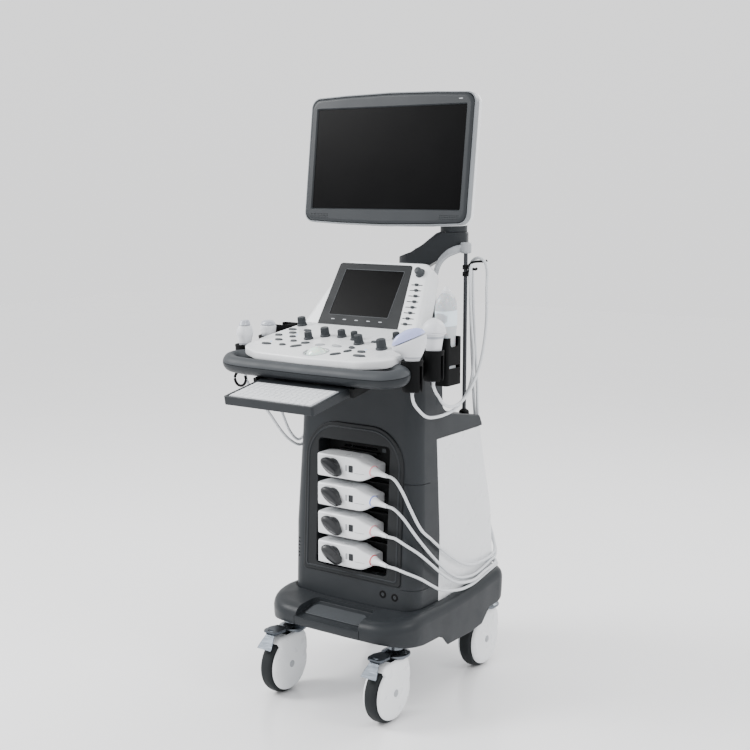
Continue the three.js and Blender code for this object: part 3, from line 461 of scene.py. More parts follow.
def lathe(name, profile, place=None, sides=48, axis="z"):
    """Solid of revolution; profile is (radius, height) along the axis, or a closed loop round it."""
    rings = []
    closed = profile[0] == profile[-1]
    for radius, height in profile[:-1] if closed else profile:
        circle = ellipse(0, 0, max(radius, 0.01), max(radius, 0.01), sides)
        rings.append([AXES[axis](p, height) for p in circle])
    return loft(name, rings, place, closed)


def at(x, y, z):
    return Matrix.Translation((x, y, z))


def turned(axis, degrees):
    return Matrix.Rotation(math.radians(degrees), 4, axis.upper())


def through(points, steps=8):
    """Centripetal Catmull-Rom curve through the points, as in the CAD routes."""
    knots = [Vector(p) for p in points]
    knots = [knots[0] * 2 - knots[1]] + knots + [knots[-1] * 2 - knots[-2]]
    curve = []
    for i in range(1, len(knots) - 2):
        a, b, c, d = knots[i - 1:i + 3]
        before, span, after = ((q - p).length ** 0.5 for p, q in ((a, b), (b, c), (c, d)))
        leave = ((b - a) / before - (c - a) / (before + span) + (c - b) / span) * span
        arrive = ((c - b) / span - (d - b) / (span + after) + (d - c) / after) * span
        for k in range(steps):
            t = k / steps
            curve.append(
                (2 * t**3 - 3 * t**2 + 1) * b + (t**3 - 2 * t**2 + t) * leave
                + (3 * t**2 - 2 * t**3) * c + (t**3 - t**2) * arrive
            )
    return curve + [knots[-2]]


def sweep(name, points, section, up=Vector((0, 0, 1)), closed=False, place=None):
    """Carries a section outline along a path; section x lies across, y points up."""
    rings = []
    path = [Vector(p) for p in points]
    for i, here in enumerate(path):
        back = path[i - 1] if (i or closed) else here
        ahead = path[(i + 1) % len(path)] if (i < len(path) - 1 or closed) else here
        forward = (ahead - back).normalized()
        across = forward.cross(up).normalized()
        over = across.cross(forward)
        rings.append([here + across * x + over * y for x, y in section])
    return loft(name, rings, place, closed)


def wire(name, points, diameter, place=None, sides=12):
    return sweep(name, points, ellipse(0, 0, diameter / 2, diameter / 2, sides),
                 Vector((0.03, 0.05, 1)), place=place)


def interpolate(table):
    """Straight lines between (at, value) pairs."""
    def value(t):
        if t <= table[0][0]:
            return table[0][1]
        for (t0, v0), (t1, v1) in zip(table, table[1:]):
            if t <= t1:
                return v0 + (v1 - v0) * (t - t0) / (t1 - t0)
        return table[-1][1]
    return value


# ---------------------------------------------------------------- probe cables
# The CAD routes between the step out of a connector and the step into a probe, in metres.
CABLE_ROUTES = {
    "cable_1": [
        (0.14, -0.0745, 0.573), (0.16, -0.073, 0.547), (0.177, -0.067, 0.51),
        (0.194, -0.044, 0.455), (0.199, -0.008, 0.424), (0.199, 0.04, 0.388), (0.199, 0.09, 0.354),
        (0.199, 0.14, 0.326), (0.198, 0.19, 0.309), (0.196, 0.24, 0.304), (0.195, 0.288, 0.306),
        (0.1885, 0.323, 0.314), (0.173, 0.341, 0.342), (0.16, 0.339, 0.385), (0.154, 0.328, 0.45),
        (0.155, 0.292, 0.615), (0.158, 0.281, 0.662), (0.162, 0.27, 0.692), (0.167, 0.259, 0.724),
        (0.17, 0.252, 0.765), (0.164, 0.243, 0.92), (0.161, 0.241, 0.99), (0.16, 0.24, 1.04),
        (0.1635, 0.2324, 1.06), (0.172, 0.214, 1.068), (0.1805, 0.1956, 1.06), (0.184, 0.188, 1.04),
        (0.186, 0.186, 0.984), (0.19, 0.188, 0.91), (0.195, 0.19, 0.84), (0.2, 0.168, 0.779),
        (0.206, 0.122, 0.746), (0.214, 0.06, 0.729), (0.234, -0.08, 0.737), (0.241, -0.13, 0.762),
        (0.2445, -0.156, 0.783),
    ],
    "cable_2": [
        (0.138, -0.074, 0.502), (0.16, -0.071, 0.484), (0.184, -0.052, 0.44),
        (0.198, -0.018, 0.395), (0.2, 0.03, 0.352), (0.2, 0.075, 0.318), (0.2, 0.124, 0.293),
        (0.199, 0.19, 0.281), (0.197, 0.24, 0.284), (0.194, 0.29, 0.294), (0.19, 0.322, 0.298),
        (0.18, 0.342, 0.313), (0.163, 0.349, 0.344), (0.149, 0.341, 0.39), (0.145, 0.328, 0.45),
        (0.146, 0.292, 0.615), (0.149, 0.281, 0.662), (0.156, 0.26, 0.724), (0.156, 0.256, 0.77),
        (0.152, 0.254, 0.85), (0.146, 0.252, 1.01), (0.1455, 0.2505, 1.057), (0.154, 0.249, 1.077),
        (0.173, 0.246, 1.085), (0.192, 0.243, 1.077), (0.2005, 0.241, 1.057), (0.201, 0.24, 1.006),
        (0.202, 0.24, 0.943), (0.205, 0.226, 0.882), (0.208, 0.198, 0.822), (0.212, 0.156, 0.778),
        (0.218, 0.104, 0.75), (0.226, 0.044, 0.743), (0.235, -0.012, 0.758), (0.242, -0.048, 0.782),
        (0.2445, -0.068, 0.8),
    ],
    "cable_3": [
        (0.14, -0.0745, 0.431), (0.166, -0.071, 0.419), (0.19, -0.05, 0.397),
        (0.204, -0.016, 0.365), (0.205, 0.022, 0.336), (0.207, 0.06, 0.31), (0.208, 0.1, 0.289),
        (0.208, 0.15, 0.276), (0.207, 0.193, 0.272), (0.205, 0.24, 0.279), (0.203, 0.29, 0.284),
        (0.19, 0.326, 0.285), (0.166, 0.339, 0.281), (0.13, 0.34, 0.277), (-0.03, 0.34, 0.277),
        (-0.11, 0.34, 0.277), (-0.146, 0.34, 0.283), (-0.165, 0.34, 0.31), (-0.17, 0.336, 0.37),
        (-0.17, 0.326, 0.45), (-0.171, 0.289, 0.62), (-0.174, 0.266, 0.7), (-0.181, 0.248, 0.745),
        (-0.215, 0.178, 0.838), (-0.23, 0.135, 0.855), (-0.234, 0.112, 0.859),
        (-0.234, 0.091, 0.8515), (-0.234, 0.0825, 0.83), (-0.233, 0.08, 0.785),
        (-0.223, 0.064, 0.695), (-0.208, 0.036, 0.626), (-0.204, 0, 0.606), (-0.21, -0.046, 0.63),
        (-0.228, -0.096, 0.7), (-0.24, -0.134, 0.756), (-0.2445, -0.157, 0.784),
    ],
    "cable_4": [
        (0.14, -0.0745, 0.357), (0.168, -0.072, 0.351), (0.194, -0.05, 0.336),
        (0.207, -0.014, 0.311), (0.209, 0.024, 0.29), (0.209, 0.1, 0.269), (0.208, 0.15, 0.263),
        (0.205, 0.193, 0.2625), (0.202, 0.24, 0.268), (0.2, 0.29, 0.275), (0.192, 0.33, 0.276),
        (0.166, 0.3495, 0.2745), (0.13, 0.3505, 0.2735), (-0.1, 0.3505, 0.2735),
        (-0.14, 0.35, 0.277), (-0.168, 0.35, 0.3), (-0.18, 0.344, 0.37), (-0.18, 0.334, 0.45),
        (-0.181, 0.295, 0.622), (-0.187, 0.268, 0.706), (-0.196, 0.248, 0.75),
        (-0.212, 0.216, 0.798), (-0.23, 0.176, 0.836), (-0.244, 0.135, 0.854),
        (-0.247, 0.112, 0.859), (-0.247, 0.091, 0.8515), (-0.247, 0.0825, 0.83),
        (-0.244, 0.08, 0.785), (-0.236, 0.072, 0.705), (-0.229, 0.058, 0.652),
        (-0.223, 0.036, 0.622), (-0.22, 0.008, 0.616), (-0.222, -0.02, 0.64),
        (-0.229, -0.04, 0.686), (-0.238, -0.06, 0.746), (-0.244, -0.072, 0.792),
    ],
}


# ---------------------------------------------------------------- stage
def make_stage():
    reach = 9000
    corners = [(-reach, -reach, 0), (reach, -reach, 0), (reach, reach, 0), (-reach, reach, 0)]
    floor = new_piece("studio_floor", corners, [(0, 1, 2, 3)])
    recipe = Recipe("studio_floor", "white_plastic")
    recipe.colour(rgb(0xF4F4F5), 0.006, 0.6)
    recipe.rough(0.2, 0.02, 2)
    paint(floor, recipe.set(Specular_IOR_Level=0.4).material)
    world = bpy.data.worlds.new("studio")
    SCENE.world = world
    world.use_nodes = True
    tree = world.node_tree
    sky = tree.nodes["Background"]
    sky.inputs["Strength"].default_value = 1.6
    place = tree.nodes.new("ShaderNodeTexCoord")
    split = tree.nodes.new("ShaderNodeSeparateXYZ")
    ramp = tree.nodes.new("ShaderNodeValToRGB")
    ramp.color_ramp.elements[0].position = 0.0
    ramp.color_ramp.elements[0].color = (0.9, 0.9, 0.91, 1)
    ramp.color_ramp.elements[1].position = 0.6
    ramp.color_ramp.elements[1].color = (1.0, 1.0, 1.0, 1)
    tree.links.new(place.outputs["Generated"], split.inputs[0])
    tree.links.new(split.outputs["Z"], ramp.inputs["Fac"])
    tree.links.new(ramp.outputs["Color"], sky.inputs["Color"])
    area_light("key", (-2.4, -1.8, 2.8), 1.4, 150)
    area_light("fill", (3.0, 0.2, 2.4), 1.2, 42)
    area_light("rim", (0.6, 2.6, 2.6), 1.6, 40)


def area_light(name, place, size, power):
    data = bpy.data.lights.new(name, "AREA")
    data.shape = "RECTANGLE"
    data.size = data.size_y = size
    data.energy = power
    light = bpy.data.objects.new(name, data)
    SCENE.collection.objects.link(light)
    light.location = place
    aim = Vector((0, 0, 0.75)) - Vector(place)
    light.rotation_euler = aim.to_track_quat("-Z", "Y").to_euler()


make_stage()


def make_cords():
    """Each cable leaves its connector's strain relief and goes into the tail of its probe."""
    for k, (name, side, y) in enumerate((
        ("cable_1", 1, CUP_YS[0]), ("cable_2", 1, CUP_YS[1]), ("cable_3", -1, CUP_YS[0]),
        ("cable_4", -1, CUP_YS[1]),
    )):
        z = CONNECTOR_ZS[k] + RELIEF_TIP.z
        entry = Vector((side * CUP_X, y, cup_top(y) - 74.5))
        route = [Vector((118.4, -74, z)), Vector((126, -74, z - 0.4))]
        route += [Vector(p) / MM for p in CABLE_ROUTES[name]]
        route += [entry - Vector((0, 0, 7)), entry]
        line = [p * MM for p in through(route, 8)]
        data = bpy.data.curves.new(name + "_jacket", "CURVE")
        data.dimensions = "3D"
        data.bevel_depth = CABLE_D / 2 * MM
        data.bevel_resolution = 5
        data.use_fill_caps = True
        spline = data.splines.new("POLY")
        spline.points.add(len(line) - 1)
        for point, place in zip(spline.points, line):
            point.co = (*place, 1)
        spline.use_smooth = True
        data.materials.append(CABLE)
        jacket = bpy.data.objects.new(name + "_jacket", data)
        SCENE.collection.objects.link(jacket)
        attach(jacket, "trolley")
        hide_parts(name)


make_cords()


# ---------------------------------------------------------------- pieces kept close to the CAD shape
def refine(node, material, body, edge=1.0, angle=32, segments=3):
    """A copy of a CAD node with its sharp rims rounded and its curves shaded smooth."""
    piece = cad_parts[node].copy()
    piece.data = piece.data.copy()
    piece.name = piece.data.name = node + "_skin"
    for key in list(piece.keys()):
        del piece[key]
    piece.parent = None
    SCENE.collection.objects.link(piece)
    recalculate(piece)
    if edge:
        bevel(piece, edge, segments)
    return place_on(piece, body, material, [node], angle)


# ---------------------------------------------------------------- casters
def scaled_ring(points, centre, factor, x):
    return [(x, centre[0] + (p[0] - centre[0]) * factor, centre[1] + (p[1] - centre[1]) * factor)
            for p in points]


def caster_hood(name, x, y):
    """Pillowed white fork over the wheel's middle, open below for the tyre."""
    radius = WHEEL_R - 8
    arc = [math.radians(deg) for deg in range(128, 375, 5)]
    side = [(radius * math.cos(a) - TRAIL, WHEEL_R + radius * math.sin(a)) for a in arc]
    side += [
        (radius - TRAIL + 1, 100), (radius - TRAIL, 122), (radius - TRAIL - 4, 138),
        (radius - TRAIL - 12, 148),
        (radius - TRAIL - 22, 152), (-20 - TRAIL, 152.3), (-34 - TRAIL, 151), (-43 - TRAIL, 146),
        (-48 - TRAIL, 139),
    ]
    bulge = ((27, 0.62), (26.6, 0.8), (25.6, 0.9), (23.6, 0.96), (20.6, 0.99), (17, 1.0))
    levels = [(-across, factor) for across, factor in bulge]
    levels += [(across, factor) for across, factor in reversed(bulge)]
    hood = loft("hood_" + name, [scaled_ring(side, (-TRAIL, 82), f, across) for across, f in levels], at(x,
        y, 0))
    axle_place = at(x, y - TRAIL, WHEEL_R)
    cut(hood, lathe("well", [(0, -17.9), (78, -17.9), (78, 17.9), (0, 17.9)], axle_place, 64, "x"))
    bevel(hood, 0.8, 2, 40)
    place_on(hood, "caster_" + name, WHITE, ["caster_hood_" + name], 42)
    axle = lathe("axle_" + name, [(0, -21), (6, -21), (6, 21), (0, 21)], axle_place, 24, "x")
    place_on(axle, "caster_" + name, ZINC)
    caps = [lathe("cap", [(0, 26.2), (9, 26.2), (9, 27.6), (7.5, 28.6), (4, 29), (0, 29)],
                  axle_place @ turned("z", 90 - 90 * face), 32, "x") for face in (-1, 1)]
    place_on(join("axle_caps_" + name, caps), "caster_" + name, LIGHT_GREY)
    crown = lathe("crown_" + name, [(0, 147), (25, 147), (27, 149), (27, 152), (25, 152.8),
                                    (0, 152.8)], at(x, y, 0))
    place_on(crown, "caster_" + name, ZINC)


def caster_wheel(name, x, y):
    place = at(x, y - TRAIL, WHEEL_R)
    tyre = lathe("tyre_" + name, [
        (58, -15), (66, -16), (70, -15.6), (70.6, -14.6), (72.6, -13.8), (74.3, -10),
        (75, -5), (75, 5), (74.3, 10),
        (72.6, 13.8), (70.6, 14.6), (70, 15.6), (66, 16), (58, 15), (58, -15),
    ], place, 96, "x")
    place_on(tyre, "wheel_" + name, TYRE, ["caster_wheel_" + name], 50)
    core = lathe("wheel_core_" + name, [
        (6.5, -12), (16, -12), (18, -8), (50, -8), (54, -14), (58.5, -14), (58.5, 14),
        (54, 14), (50, 8), (18, 8),
        (16, 12), (6.5, 12), (6.5, -12),
    ], place, 64, "x")
    place_on(core, "wheel_" + name, TYRE_CORE, angle=40)


def brake_pedal(name, x, y):
    """Folded plate: a slotted shelf over the head and a flared toe tab in front of the tyre."""
    place = at(x, y, 0)
    shelf = extrude("shelf", outline([
        (-16, -95, 4), (16, -95, 4), (22, -84, 5), (22, -62, 5), (14, -43, 4), (-14, -43, 4),
        (-22, -62, 5), (-22, -84, 5),
    ], 5), 166.2, 170.6, "z", place)
    cut(shelf, extrude("slot", rounded_rect(-9, -90, 9, -82, 3), 160, 175, "z", place))
    tab = loft("tab", [
        [(-w, py, pz), (w, py, pz), (w, py + 3.4, pz + 2.8), (-w, py + 3.4, pz + 2.8)]
        for w, py, pz in ((13, -84, 166), (13, -89, 161), (14, -94, 155), (18, -103, 145),
                          (21.5, -112, 134), (21.5, -115, 130.5))
    ], place)
    cheeks = [extrude("cheek", [(-90, 161), (-82, 159.5), (-46, 159), (-46, 169), (-84, 169)],
                      cx - 1.6, cx + 1.6, "x", place) for cx in (-13, 13)]
    pedal = bevel(fuse(shelf, tab, *cheeks), 0.8, 2)
    pedal.name = "pedal_" + name
    place_on(pedal, "brake_" + name, PEDAL, ["brake_pedal_" + name])


for caster, (caster_x, caster_y) in CASTERS.items():
    caster_hood(caster, caster_x, caster_y)
    caster_wheel(caster, caster_x, caster_y)
    head = lathe("swivel_head_" + caster, [
        (0, 153), (31, 153), (35, 154.5), (36, 157), (35, 160), (30, 162), (27, 165), (22, 167),
        (19, 170), (18, 196), (0, 196),
    ], at(caster_x, caster_y, 0), 56)
    place_on(head, "trolley", ZINC)
    if "front" in caster:
        brake_pedal(caster, caster_x, caster_y)


# ---------------------------------------------------------------- chassis inside the covers
def make_chassis():
    deck = box("chassis", -165, 165, -104, 345, 186, 206, edge=2)
    posts = [box("post", s * 120 - 20, s * 120 + 20, 12, 62, 200, 812, edge=2) for s in (-1, 1)]
    brace = box("brace", -110, 110, 18, 56, 690, 720, edge=2)
    chassis = fuse(deck, *posts, brace)
    cut(chassis, box("above", *ABOVE))
    place_on(chassis, "trolley", STEEL, ["chassis_frame"])
    module = box("electronics_case", -135, 135, 128, 268, 240, 600, edge=3)
    fins = [box("fin", -120 + 16 * k, -112 + 16 * k, 120, 130, 260, 580, edge=1) for k in range(15)]
    place_on(join("electronics_case", [module] + fins), "trolley", MODULE_GREY, ["electronics_module"])


make_chassis()


# ---------------------------------------------------------------- base cover
deck_z = interpolate([(-170, 240), (-130, 248), (-60, 254), (60, 254), (140, 258), (240, 267),
                      (320, 275), (362, 272)])
skirt_z = interpolate([
    (-170, 196), (-120, 183), (-60, 176), (11, 174), (30, 166), (54, 142), (164, 141), (220, 146),
    (240, 164), (258, 180),
    (300, 182), (362, 196),
])
ceiling_z = interpolate([(-170, 208), (-151, 206), (-90, 214), (-50, 238), (60, 242), (240, 254),
                         (320, 262), (362, 260)])


def cabinet_front(z):
    return -64 + (z - 250) * math.tan(FRONT_SLOPE)


def base_cover():
    sides = [-60, -35, -10, 11, 20, 30, 42, 54, 80, 110, 140, 164, 192, 220, 230, 240, 249, 258, 280, 300]
    plan = outline(
        [(-209, -156, 95), (-60, -170), (60, -170), (209, -156, 95)] + [(215, y) for y in sides]
        + [(215, 362, 58), (-215, 362, 58)] + [(-215, y) for y in reversed(sides)], 18,
    )
    centre = Vector((0, 100))

    def ring(inset, height):
        points = []
        for p in plan:
            to_centre = centre - Vector(p)
            q = Vector(p) + to_centre * (inset / to_centre.length)
            points.append((q.x, q.y, height(p[1])))
        return points

    def inward(share, height):
        return [(p[0] * (1 - share), p[1] + (100 - p[1]) * share, height(p[1] + (100 - p[1]) * share))
                for p in plan]

    shoulder = [
        (14 + 20 * t, 5 * (1 - t) ** 2) for t in (1, 0.75, 0.5, 0.25)
    ] + [(14, 5), (10.5, 7.5), (7.5, 10.5), (5, 13.5), (3.2, 17), (1.6, 21.5), (0.5, 26), (0, 30)]
    rings = [inward(0.8, deck_z)]
    rings += [ring(inset, lambda y, d=drop: deck_z(y) - d) for inset, drop in shoulder]
    rings += [
        ring(0.6, lambda y: skirt_z(y) * 0.6 + (deck_z(y) - 30) * 0.4), ring(2, lambda y: skirt_z(y) + 2),
        ring(3.2, skirt_z), ring(8, skirt_z), ring(10, lambda y: ceiling_z(y) - 6), ring(40, ceiling_z),
        inward(0.8, ceiling_z),
    ]
    cover = loft("base_shell", rings)
    pocket = extrude("pocket", outline([
        (-190, cabinet_front(250) - 2, 38), (190, cabinet_front(250) - 2, 38),
        (190, 337, 26), (-190, 337, 26),
    ], 12), 212, 400)
    side = [(-300, 206), (-151, 218), (-84, 235), (-84, 400), (-300, 400)]
    well = extrude("well", side, -200, 200, "x")
    plan_cut = extrude("plan", outline([(-98, -300), (98, -300), (92, -80, 24), (-92, -80, 24)],
                                       10), 100, 500)
    combine(well, "INTERSECT", [plan_cut])
    bevel(well, 5, 4)
    cut(cover, pocket, well)
    seams = [box("seam", s * 98 - 0.7, s * 98 + 0.7, -190, -161.5, 150, 219) for s in (-1, 1)]
    cut(cover, *seams)
    bevel(cover, 1.2, 3, 38)
    place_on(cover, "trolley", CHARCOAL, ["base_cover"], 34)
    pad = extrude("step_pad", outline([(-84, -143, 6), (84, -143, 6), (80, -97, 16), (-80, -97, 16)],
                                      8), -1.4, 1.4)
    tilt = math.atan2(17, 67)
    pad.data.transform(
        Matrix.Translation((0, -0.151, 0.218)) @ Matrix.Rotation(tilt, 4,
            "X") @ Matrix.Translation((0, 0.151, 0.0012))
    )
    bevel(pad, 1.2, 3)
    place_on(pad, "trolley", SOFT_GREY)


base_cover()


# ---------------------------------------------------------------- cabinet covers
half_width = interpolate([(250, 187), (420, 190), (657, 180), (760, 178)])
cabinet_rear = interpolate([(250, 334), (449, 312), (657, 268)])
FRONT = at(0, cabinet_front(490), 490) @ Matrix.Rotation(-FRONT_SLOPE, 4, "X") @ at(0, 0, -490)


def arch(grow, steps=20):
    return outline([
        (-147 - grow, 306 - grow, 8), (147 + grow, 306 - grow, 8), (147 + grow, 690 + grow, 96 + grow),
        (-147 - grow, 690 + grow, 96 + grow),
    ], steps)


def front_cover():
    def ring(z):
        w = half_width(z)
        f = cabinet_front(min(z, 760)) - 0.06 * max(0, z - 760)

        def path(d):
            return outline([(w - d, 46), (w - d, f + d, 38 - d), (-w + d, f + d, 38 - d), (-w + d, 46)], 14)

        return [(*p, z) for p in path(0) + path(4)[::-1]]

    cover = loft("front_shell", [ring(z) for z in (240, 280, 330, 380, 420, 480, 560, 657, 710, 760, 900)])
    cut(cover, extrude("arch", arch(0.5), -40, 40, "y", FRONT), box("above", *ABOVE))
    grooves = [
        box("seam", 149, 215, -90, 60, 559.2, 560.6, FRONT),
        box("crease_right", 147, 215, -90, 60, 300.4, 301.6, FRONT),
    ]
    cut(cover, *grooves)
    vents = [extrude("vent", rounded_rect(-172, 330 + 9 * k, -163, 333 + 9 * k, 1.4, 3), -30, 60, "y",
                     FRONT) for k in range(6)]
    cut(cover, join("vents", vents))
    bevel(cover, 0.7, 2, 40)
    place_on(cover, "trolley", CHARCOAL, ["front_cover"], 34)


def port_frame():
    frame_piece = extrude("port_frame", arch(0), -4, 6, "y", FRONT, 3, 4)
    deep = extrude("deep", rounded_rect(-111, 322, 111, 649, 14, 8), 0, 46, "y", FRONT)
    fuse(frame_piece, deep)
    cut(frame_piece, extrude("opening", rounded_rect(-107, 326, 107, 645, 10, 8), -30, 56, "y", FRONT))
    bevel(frame_piece, 1.6, 3, 40)
    place_on(frame_piece, "trolley", DARK, ["port_bezel"])
    lip = sweep("port_lip", [(x, -4.2, z) for x, z in arch(-11)], ellipse(0, 0, 2.4, 1.4, 12),
                Vector((0, -1, 0)), closed=True, place=FRONT)
    place_on(lip, "trolley", CHARCOAL)
    panel = extrude("port_back", rounded_rect(-106.5, 326.5, 106.5, 644.5, 9.5, 8), 38, 44, "y", FRONT, 0.6)
    cut(panel, extrude("slot", rounded_rect(-58, 623, 42, 629, 2, 4), -30, 60, "y", FRONT))
    place_on(panel, "trolley", PANEL_BLACK, ["port_panel"])
    shelf = [box("shelf", -104, 104, 20, 38.5, z - 37.5, z - 34.5, FRONT, 0.8) for z in CONNECTOR_ZS]
    shelf.append(box("slot_tray", -66, 50, 24, 38.5, 615, 619, FRONT, 0.8))
    place_on(join("port_rails", shelf), "trolley", PANEL_BLACK)
    screws = []
    for z in CONNECTOR_ZS:
        screw = lathe("screw", [(0, 0), (4.2, 0), (4.2, 1.2), (3, 2.4), (0, 2.4)],
                      FRONT @ at(94, 38.2, z + 14) @ turned("x", 90), 20)
        cut(screw, box("drive", -0.5, 0.5, -3, 3, 1.4, 4, FRONT @ at(94, 38.2, z + 14) @ turned("x", 90)))
        screws.append(screw)
    place_on(join("port_screws", screws), "trolley", ZINC)
    lamp = extrude("slot_lamp", rounded_rect(56, 621, 68, 631, 2, 4), 37.2, 38.6, "y", FRONT, 0.4)
    place_on(lamp, "trolley", SOFT_GREY)
    jacks = []
    rims = []
    for jx, jz in ((96, 281), (131, 279)):
        spot = FRONT @ at(jx, 0, jz) @ turned("x", 90)
        rims.append(lathe("rim", [(0, -3), (9.5, -3), (9.5, 0.6), (8.6, 1.5), (5.6, 1.5), (5.2, 0.2),
                                  (5.2, -1), (0, -1)], spot, 36))
        jacks.append(lathe("pin", [(1.9, -1.2), (3.4, -1.2), (3.4, 0.6), (1.9, 0.6),
                                   (1.9, -1.2)], spot, 24))
    place_on(join("jack_rims", rims), "trolley", BLACK_AND_HOLE_SHADE)
    place_on(join("jack_pins", jacks), "trolley", KEY_GREY)


def side_panel(side, name):
    def ring(z):
        w, b = half_width(z), cabinet_rear(z)

        def path(d):
            return outline([(w - d, 47), (w - d, b - d, 26 - d), (w - 44, b - d)], 12)

        return [(side * p[0], p[1], z) for p in path(0) + path(4)[::-1]]

    levels = (242, 300, 360, 420, 449, 500, 560, 620, 656.4)
    panel = loft("cabinet_side_" + name, [ring(z) for z in levels])
    bevel(panel, 1.2, 3, 40)
    place_on(panel, "trolley", WHITE, ["side_panel_" + name], 34)


def rear_cover():
    def ring(z):
        w, b = half_width(z) - 44.5, cabinet_rear(z) - 0.5
        return [(-w, b - 4, z), (w, b - 4, z), (w, b, z), (-w, b, z)]

    cover = loft("rear_shell", [ring(z) for z in (242, 449, 656.4)])
    louvres = []
    for z in [*range(300, 413, 14), *range(520, 591, 14)]:
        y = cabinet_rear(z)
        louvres.append(extrude("louvre", rounded_rect(-90, z, 90, z + 6, 3, 4), y - 12, y + 6, "y"))
    cut(cover, join("louvres", louvres))
    bevel(cover, 0.6, 2, 40)
    place_on(cover, "trolley", REAR_GREY, ["rear_cover"])
    inlet_y = cabinet_rear(272) - 0.5
    inlet = extrude("mains_inlet", rounded_rect(-112, 254, -72, 288, 4, 5), inlet_y - 3,
                    inlet_y + 3, "y", None, 1)
    cut(inlet, extrude("hole", rounded_rect(-106, 259, -78, 283, 3, 5), inlet_y - 1.5, inlet_y + 8, "y"))
    pins = [box("pin", px - 1.2, px + 1.2, inlet_y - 2, inlet_y + 1.8, pz - 3.5, pz + 3.5, None, 0.4)
            for px, pz in ((-99, 268), (-92, 275), (-85, 268))]
    place_on(inlet, "trolley", BLACK_AND_HOLE_SHADE)
    place_on(join("mains_pins", pins), "trolley", ZINC)


def shoulder_cover():
    side = outline([
        (30, 640), (272, 640), (268, 664, 8), (256, 685, 8), (101, 714, 20),
        (78, 732, 14), (70, 900), (30, 900),
    ], 10)
    inside = outline([
        (20, 630), (264, 630), (262, 662), (252, 680, 6), (98, 709, 18),
        (74, 727, 12), (66, 910), (20, 910),
    ], 10)
    shell = extrude("shoulder_shell", side, -178, 178, "x", None, 5, 5)
    cut(
        shell, extrude("inside", inside, -174, 174, "x"), box("front", -300, 300, -50, 47, 500, 1000),
        box("low", -300, 300, -50, 400, 500, 657), box("above", *ABOVE),
    )
    bevel(shell, 0.8, 2, 40)
    place_on(shell, "trolley", CHARCOAL, ["shoulder_cover"], 34)


front_cover()
port_frame()
side_panel(1, "right")
side_panel(-1, "left")
rear_cover()
shoulder_cover()


# ---------------------------------------------------------------- connectors and their levers
def plug_rear(z):
    return cabinet_front(z - 30) + 37


def connector(k, z):
    """White plug: full-height block that narrows to the strain relief on the right."""
    rear = plug_rear(z)
    stations = [
        (-92, -28, 28.4, -73), (-90.6, -28.3, 28.6, -75.4), (-86, -28.5, 28.7, -76), (14, -28.5, 28.6, -76),
        (24, -28.4, 27.4, -76), (33, -28, 24.4, -76), (42, -26.4, 20.6, -75.6), (50, -23.4, 17.8, -75),
        (58, -19.4, 15.6, -74), (65, -15.4, 14, -73), (69, -13, 12.6, -72),
    ]
    rings = []
    for x, low, high, front in stations:
        section = rounded_rect(front, low, rear, high, 5.5, 6)
        rings.append([(x, y, h) for y, h in section])
    body = loft(f"plug_{k}", rings, at(0, 0, z))
    cut(body, box("window", 3.4, 17, -77.5, -75.2, -9, 9, at(0, 0, z)))
    bevel(body, 1.0, 3, 36)
    place_on(body, "trolley", WHITE, [f"connector_{k}"])
    window = extrude(f"plug_window_{k}", rounded_rect(4, -8.4, 16.4, 8.4, 1.5, 4), -76.6, -74.8,
                     "y", at(0, 0, z), 0.3)
    place_on(window, "trolley", BEZEL_BLACK)
    tag = extrude(f"plug_tag_{k}", rounded_rect(-6, -7, -0.5, 8, 1.2, 4), -76.5, -75,
                  "y", at(0, 0, z), 0.25)
    place_on(tag, "trolley", LIGHT_GREY)
    seam = wire(f"plug_seam_{k}", [(22, -76.05, -9), (36, -76.05, -9), (50, -75.1, -8.6)], 0.7, at(0, 0,
        z), 8)
    place_on(seam, "trolley", KEY_GREY)
    heading = (RELIEF_TIP - RELIEF_ROOT).normalized()
    turn = heading.to_track_quat("Z", "Y").to_matrix().to_4x4()
    place = Matrix.Translation(RELIEF_ROOT + Vector((0, 0, z))) @ turn
    profile = [(0, -6), (13.4, -6), (13.4, 1.5), (12.6, 5), (11.2, 9), (9.4, 15), (7.8, 22), (6.8, 28)]
    profile += [(6.6 - 0.35 * k2 + (0.35 if k2 % 2 else 0), 29 + 3.4 * k2) for k2 in range(6)]
    profile += [(4.6, 50), (4.2, 51), (0, 51)]
    relief = lathe(f"plug_relief_{k}", profile, place, 40)
    place_on(relief, "trolley", WHITE, angle=50)
    ring = lathe(f"plug_ring_{k}", [(12.4, 1.6), (14, 1.8), (14.2, 3), (13.6, 4.4),
                                    (12, 5)] + [(12, 1.6)], place, 40)
    place_on(ring, "trolley", {1: RING_PINK, 2: RING_BLUE, 3: RING_PINK, 4: RING_RED}[k], angle=50)


def connector_lever(k, z):
    place = at(-43, -76.4, z) @ turned("y", 30) @ turned("x", 90)
    collar = lathe("collar", [(0, 0), (21, 0), (21, 2.6), (20, 4.6), (18, 5.2), (0, 5.2)], place, 56)
    levels = [(4.4, 33, 17), (11, 33, 17), (13, 32.4, 15.8), (15, 31, 12.4), (17, 29.4, 9), (19, 28, 6.6),
              (20.4, 26.6, 5), (21, 24, 3.4)]
    leaf = loft("leaf", [[(*p, h) for p in ellipse(0, 0, rx, ry, 48)] for h, rx, ry in levels], place)
    lever = join(f"lever_leaf_{k}", [collar, leaf])
    place_on(lever, f"lever_{k}", LEVER_GREY, [f"connector_lever_{k}"], 45)
    mark = box(f"lever_mark_{k}", 20, 25, -0.8, 0.8, 17.5, 19.6, place, 0.3)
    place_on(mark, f"lever_{k}", LIGHT_GREY)


for index, height in enumerate(CONNECTOR_ZS, 1):
    connector(index, height)
    connector_lever(index, height)


# ---------------------------------------------------------------- console
BALL_CENTRE = Vector((0, slope_s(-196), -15))
BALL_R = 26.2
